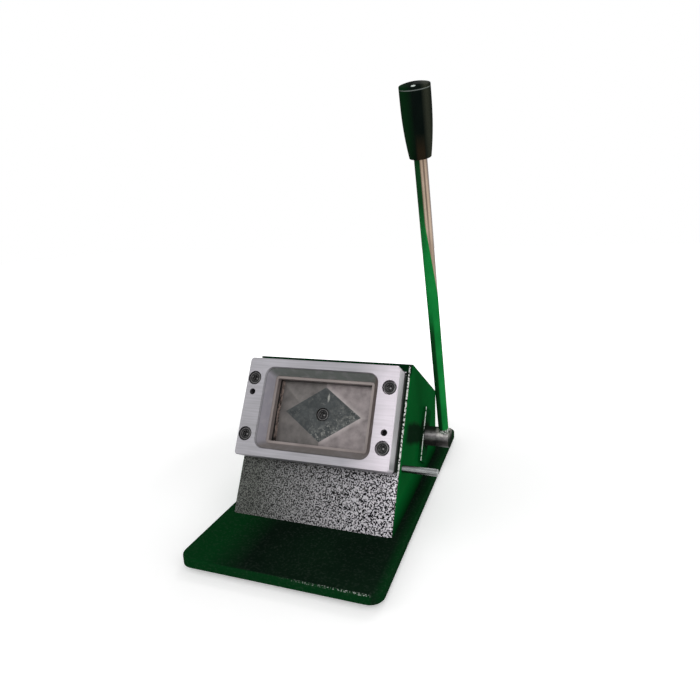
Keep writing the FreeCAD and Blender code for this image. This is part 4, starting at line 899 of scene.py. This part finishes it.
# %% [markdown]
# ## Cap screws from one tree of nodes
#
# Twenty-one socket screws hold the machine together, in six sizes. Each could be turned by hand with a
# Screw modifier, but then a new size would mean new work. A screw is a lathe shape: a list of radii and
# heights, from its tip up over the head and down into the socket. So one Geometry Nodes tree bends a
# flat grid around an axis. Each row of the grid looks up its radius and height in two short tables,
# whose entries are sums of the tree's inputs. The socket is a hexagon, so its rows take their radius
# from the angle instead, and the knurled rows let every other column sink a little.
#
# A second set of nodes stands the screw on each point and gives it a turn of its own, because no
# fitter leaves all the sockets lined up.

# %% Trees and the meshes they leave
SHARP_ANGLE = math.radians(28)


def new_tree(name, **inputs):
    """A geometry tree with named inputs; gives the tree and its inputs as sums."""
    tree = bpy.data.node_groups.new(name, "GeometryNodeTree")
    tree.interface.new_socket("Geometry", in_out="OUTPUT", socket_type="NodeSocketGeometry")
    tree.interface.new_socket("Points", in_out="INPUT", socket_type="NodeSocketGeometry")
    for label, kind in inputs.items():
        tree.interface.new_socket(label.replace("_", " "), in_out="INPUT", socket_type="NodeSocket" + kind)
    entry = tree.nodes.new("NodeGroupInput")
    return tree, {socket.name: Sum(tree, socket) for socket in entry.outputs if socket.name}


def stand_on_points(tree, given, shape, seed):
    """One copy of a shape on each point, its Z along the Axis input, each turned by chance."""
    upright = node(tree, "FunctionNodeAlignRotationToVector", {"axis": "Z"}, Vector=given["Axis"])
    chance = node(tree, "FunctionNodeRandomValue", {"data_type": "FLOAT"})
    live = {socket.name: socket for socket in chance.inputs if socket.enabled}
    live["Max"].default_value, live["Seed"].default_value = FULL_TURN, seed
    angle = next(socket for socket in chance.outputs if socket.enabled)
    spin = node(tree, "FunctionNodeAxisAngleToRotation", Axis=(0, 0, 1), Angle=angle)
    turned = node(
        tree,
        "FunctionNodeRotateRotation",
        {"rotation_space": "LOCAL"},
        Rotation=upright.outputs[0],
        Rotate_By=spin.outputs[0],
    )
    copies = node(
        tree, "GeometryNodeInstanceOnPoints", Points=given["Points"], Instance=shape, Rotation=turned.outputs[0]
    )
    solid = node(tree, "GeometryNodeRealizeInstances", Geometry=copies.outputs[0])
    finished = node(tree, "GeometryNodeSetMaterial", Geometry=solid.outputs[0], Material=given["Material"])
    node(tree, "NodeGroupOutput", Geometry=finished.outputs[0])


def grow(name, tree, places, **values):
    """Runs a tree on some places and keeps the result as a plain mesh."""
    seeds = bpy.data.meshes.new(name + "_places")
    seeds.from_pydata([tuple(place) for place in places], [], [])
    piece = bpy.data.objects.new(name, seeds)
    bpy.context.scene.collection.objects.link(piece)
    modifier = piece.modifiers.new(name, "NODES")
    modifier.node_group = tree
    for socket in tree.interface.items_tree:
        label = socket.name.replace(" ", "_")
        if socket.in_out == "INPUT" and label in values:
            modifier[socket.identifier] = values[label]
    made = bpy.data.meshes.new_from_object(piece.evaluated_get(bpy.context.evaluated_depsgraph_get()))
    piece.modifiers.remove(modifier)
    piece.data = made
    bpy.data.meshes.remove(seeds)
    made.name = name
    made.shade_smooth()
    made.set_sharp_from_angle(angle=SHARP_ANGLE)
    return piece


print("tree helpers ready")

# %% The screw tree
COLUMNS = 72
SCREW_INPUTS = (
    "Head_Width", "Head_Height", "Side_Height", "Top_Width", "Flute_Depth",
    "Socket_Width", "Socket_Depth", "Shank_Width", "Shank_Length",
)


def screw_rows(given):
    """Radius, height, 1 where the row is a hexagon, 1 where it is knurled; from the tip to the socket."""
    head, top = given["Head Width"] * 0.5, given["Top Width"] * 0.5
    height, side = given["Head Height"], given["Side Height"]
    socket, depth = given["Socket Width"], given["Socket Depth"]
    shank, length = given["Shank Width"] * 0.5, given["Shank Length"]
    return [
        (0.0, -length, 0, 0),
        (shank * 0.78, -length, 0, 0),
        (shank, shank * 0.25 - length, 0, 0),
        (shank, 0.0, 0, 0),
        (head * 0.95, 0.0, 0, 0),
        (head, head * 0.05, 0, 0),
        (head, side * 0.12, 0, 0),
        (head, side * 0.16, 0, 1),
        (head, side * 0.84, 0, 1),
        (head, side * 0.88, 0, 0),
        (head, side, 0, 0),
        (head - (head - top) * 0.29, side + (height - side) * 0.71, 0, 0),
        (top, height, 0, 0),
        (socket * 0.62, height, 0, 0),
        (socket, height - socket * 0.05, 1, 0),
        (socket, height - depth, 1, 0),
        (0.0, height - depth - socket * 0.12, 0, 0),
    ]


def looked_up(tree, row, entries):
    """The entry that belongs to a row of the grid."""
    table = node(tree, "GeometryNodeIndexSwitch", {"data_type": "FLOAT"})
    while len(table.index_switch_items) < len(entries):
        table.index_switch_items.new()
    for socket, value in zip(table.inputs, (row, *entries)):
        plug(tree, socket, value)
    return Sum(tree, table.outputs[0])


def screw_tree():
    widths = {label: "Float" for label in SCREW_INPUTS}
    tree, given = new_tree("turned_screws", **widths, Axis="Vector", Material="Material")
    rows = screw_rows(given)
    grid = node(
        tree,
        "GeometryNodeMeshGrid",
        Size_X=1.0,
        Size_Y=1.0,
        Vertices_X=COLUMNS + 1,
        Vertices_Y=len(rows),
    )
    place = node(tree, "ShaderNodeSeparateXYZ", Vector=node(tree, "GeometryNodeInputPosition").outputs[0])
    share = Sum(tree, place.outputs["X"]) + 0.5
    row = (Sum(tree, place.outputs["Y"]) + 0.5) * (len(rows) - 1) + 0.5
    radius, level, hexagon, knurl = (looked_up(tree, row, column) for column in zip(*rows))
    turn = share * FULL_TURN
    # a hexagon's side lies nearest the middle at 30, 90, 150 degrees and so on
    from_side = turn.math("MODULO", FULL_TURN / 6) - FULL_TURN / 12
    hexagon_radius = radius * 0.5 / from_side.math("COSINE")
    parity = (share * COLUMNS + 0.25).math("FLOOR").math("MODULO", 2.0)
    reach = radius * (1 - hexagon) + hexagon_radius * hexagon - parity * knurl * given["Flute Depth"]
    bent = node(
        tree, "ShaderNodeCombineXYZ", X=reach * turn.math("COSINE"), Y=reach * turn.math("SINE"), Z=level
    )
    shape = node(tree, "GeometryNodeSetPosition", Geometry=grid.outputs[0], Position=bent.outputs[0])
    closed = node(tree, "GeometryNodeMergeByDistance", Geometry=shape.outputs[0], Distance=0.000001)
    stand_on_points(tree, given, closed.outputs[0], seed=8)
    return tree


SCREW_TREE = screw_tree()
print("screw tree of", len(SCREW_TREE.nodes), "nodes")

# %% [markdown]
# Each set of screws now needs only its sizes in millimetres and its seats. The cap screws have straight
# knurled heads. Those underneath and at the back have low round heads, so their sides are short and
# their tops narrow. Every set stands for the plain screws of the CAD model, and its box is compared
# with theirs: a screw that missed its hole would show at once.

# %% Stand the screws in their seats
DOWN, BACKWARD = Vector((0, 0, -1)), Vector((0, 1, 0))
FLANGE_MIDDLE = 0.06175


def four(across, up):
    """Four places on the front, alike on all sides of the punch's middle."""
    return [(x, PUNCH_MIDDLE + y) for x in (-across, across) for y in (-up, up)]


def foot_seat(corner):
    low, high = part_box("foot_" + corner)
    return Vector(((low[0] + high[0]) / 2, (low[1] + high[1]) / 2, 0.0026))


def on_flanges(*places):
    """The same places, as y and z, over the flanges on both sides."""
    return [Vector((MIDDLE + x, y, z)) for x in (-FLANGE_MIDDLE, FLANGE_MIDDLE) for y, z in places]


SCREW_SETS = {
    # seats, axis, finish, sizes in the order of SCREW_INPUTS
    "die_screws": (
        [on_front(x, y, 0.0157) for x, y in four(*DIE_SCREW_SEAT)],
        OUT_OF_FRONT, DIE_SCREW, (10, 6, 5.5, 9, 0.14, 5, 3.2, 6, 25.7),
    ),
    "punch_screw": (
        [on_front(0, PUNCH_MIDDLE, -0.0018)],
        OUT_OF_FRONT, PUNCH_SCREW, (10, 6, 5.5, 9, 0.14, 5, 3.2, 6, 32.2),
    ),
    "arm_screws": (
        [on_front(x, y, -0.0068) for x, y in four(0.06425, 0.005)],
        OUT_OF_FRONT, BLACK_OXIDE, (7, 3.5, 3.1, 6.2, 0.1, 3, 1.75, 4, 18.2),
    ),
    "base_screws": (
        on_flanges((-0.052, 0.0081), (0.058, 0.0081)),
        DOWN, BLACK_OXIDE, (9.5, 2.8, 0.8, 5.6, 0, 3, 1.4, 5, 7.4),
    ),
    "cover_screws": (
        on_flanges((0.085, 0.0265), (0.085, 0.06274)),
        BACKWARD, BLACK_OXIDE, (7.6, 2.2, 0.7, 4.6, 0, 2.5, 1.1, 4, 4.5),
    ),
    "foot_screws": (
        [foot_seat(corner) for corner in ("front_left", "front_right", "rear_left", "rear_right")],
        DOWN, BLACK_OXIDE, (7.6, 2.2, 0.7, 4.6, 0, 2.5, 1.1, 4, 8.4),
    ),
}
for replaced, (seats, axis, finish, sizes) in SCREW_SETS.items():
    metres = {label: size / 1000 for label, size in zip(SCREW_INPUTS, sizes)}
    screws = grow("turned_" + replaced, SCREW_TREE, seats, Axis=tuple(axis), Material=finish, **metres)
    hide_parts(replaced)
    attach(screws, "ram" if replaced == "punch_screw" else "frame")
    low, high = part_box(replaced)
    reached = zip(*(screws.matrix_world @ vertex.co for vertex in screws.data.vertices))
    miss = max(max(abs(min(v) - a), abs(max(v) - b)) for v, a, b in zip(reached, low, high))
    print(replaced, len(screws.data.polygons), "faces, box within", round(miss * 1000, 3), "mm")

# %% [markdown]
# ## Return springs
#
# The two springs behind the front push the ram back after each cut. They are wound from round wire and their
# last turns lie flat, so that they stand square. A helix could be drawn as a curve by hand, but the closed ends
# make the pitch change along the way. In nodes that is one sum: a straight line is cut into many short pieces,
# and each point is moved to its place on the coil.

# %% The spring tree
def spring_tree():
    tree, given = new_tree(
        "wound_springs",
        Coil_Width="Float",
        Wire_Width="Float",
        Length="Float",
        Turns="Float",
        Axis="Vector",
        Material="Material",
    )
    wire, turns = given["Wire Width"], given["Turns"]
    line = node(tree, "GeometryNodeCurvePrimitiveLine")
    path = node(tree, "GeometryNodeResampleCurve", Curve=line.outputs[0], Count=260)
    turn = Sum(tree, node(tree, "GeometryNodeSplineParameter").outputs["Factor"]) * turns
    # the first and last turns rise by one wire each, and the turns between share the rest
    first = turn.between(0.0, 1.0)
    last = (turn - turns).between(-1.0, 0.0)
    middle = ((turn - 1) / (turns - 2)).between(0.0, 1.0)
    rise = wire * 0.5 + wire * first + (given["Length"] - wire * 3) * middle + wire * last
    radius = (given["Coil Width"] - wire) * 0.5
    angle = turn * FULL_TURN
    coil = node(
        tree, "ShaderNodeCombineXYZ", X=radius * angle.math("COSINE"), Y=radius * angle.math("SINE"), Z=rise
    )
    wound = node(tree, "GeometryNodeSetPosition", Geometry=path.outputs[0], Position=coil.outputs[0])
    section = node(tree, "GeometryNodeCurvePrimitiveCircle", Resolution=12, Radius=wire * 0.5)
    solid = node(
        tree,
        "GeometryNodeCurveToMesh",
        Curve=wound.outputs[0],
        Profile_Curve=section.outputs[0],
        Fill_Caps=True,
    )
    stand_on_points(tree, given, solid.outputs[0], seed=3)
    return tree


SPRING_TREE = spring_tree()
POST_REACH, SPRING_FRONT, SPRING_BACK = 0.051, -0.0112, -0.0338
springs = grow(
    "wound_return_springs",
    SPRING_TREE,
    [on_front(x, PUNCH_MIDDLE, SPRING_BACK) for x in (-POST_REACH, POST_REACH)],
    Coil_Width=0.015,
    Wire_Width=0.0016,
    Length=SPRING_FRONT - SPRING_BACK,
    Turns=6.0,
    Axis=tuple(OUT_OF_FRONT),
    Material=SPRING_WIRE,
)
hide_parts("return_spring_left", "return_spring_right")
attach(springs, "frame")
tuple(on_front(0, PUNCH_MIDDLE, SPRING_FRONT))
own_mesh(springs)
print("springs of", len(springs.data.polygons), "faces")
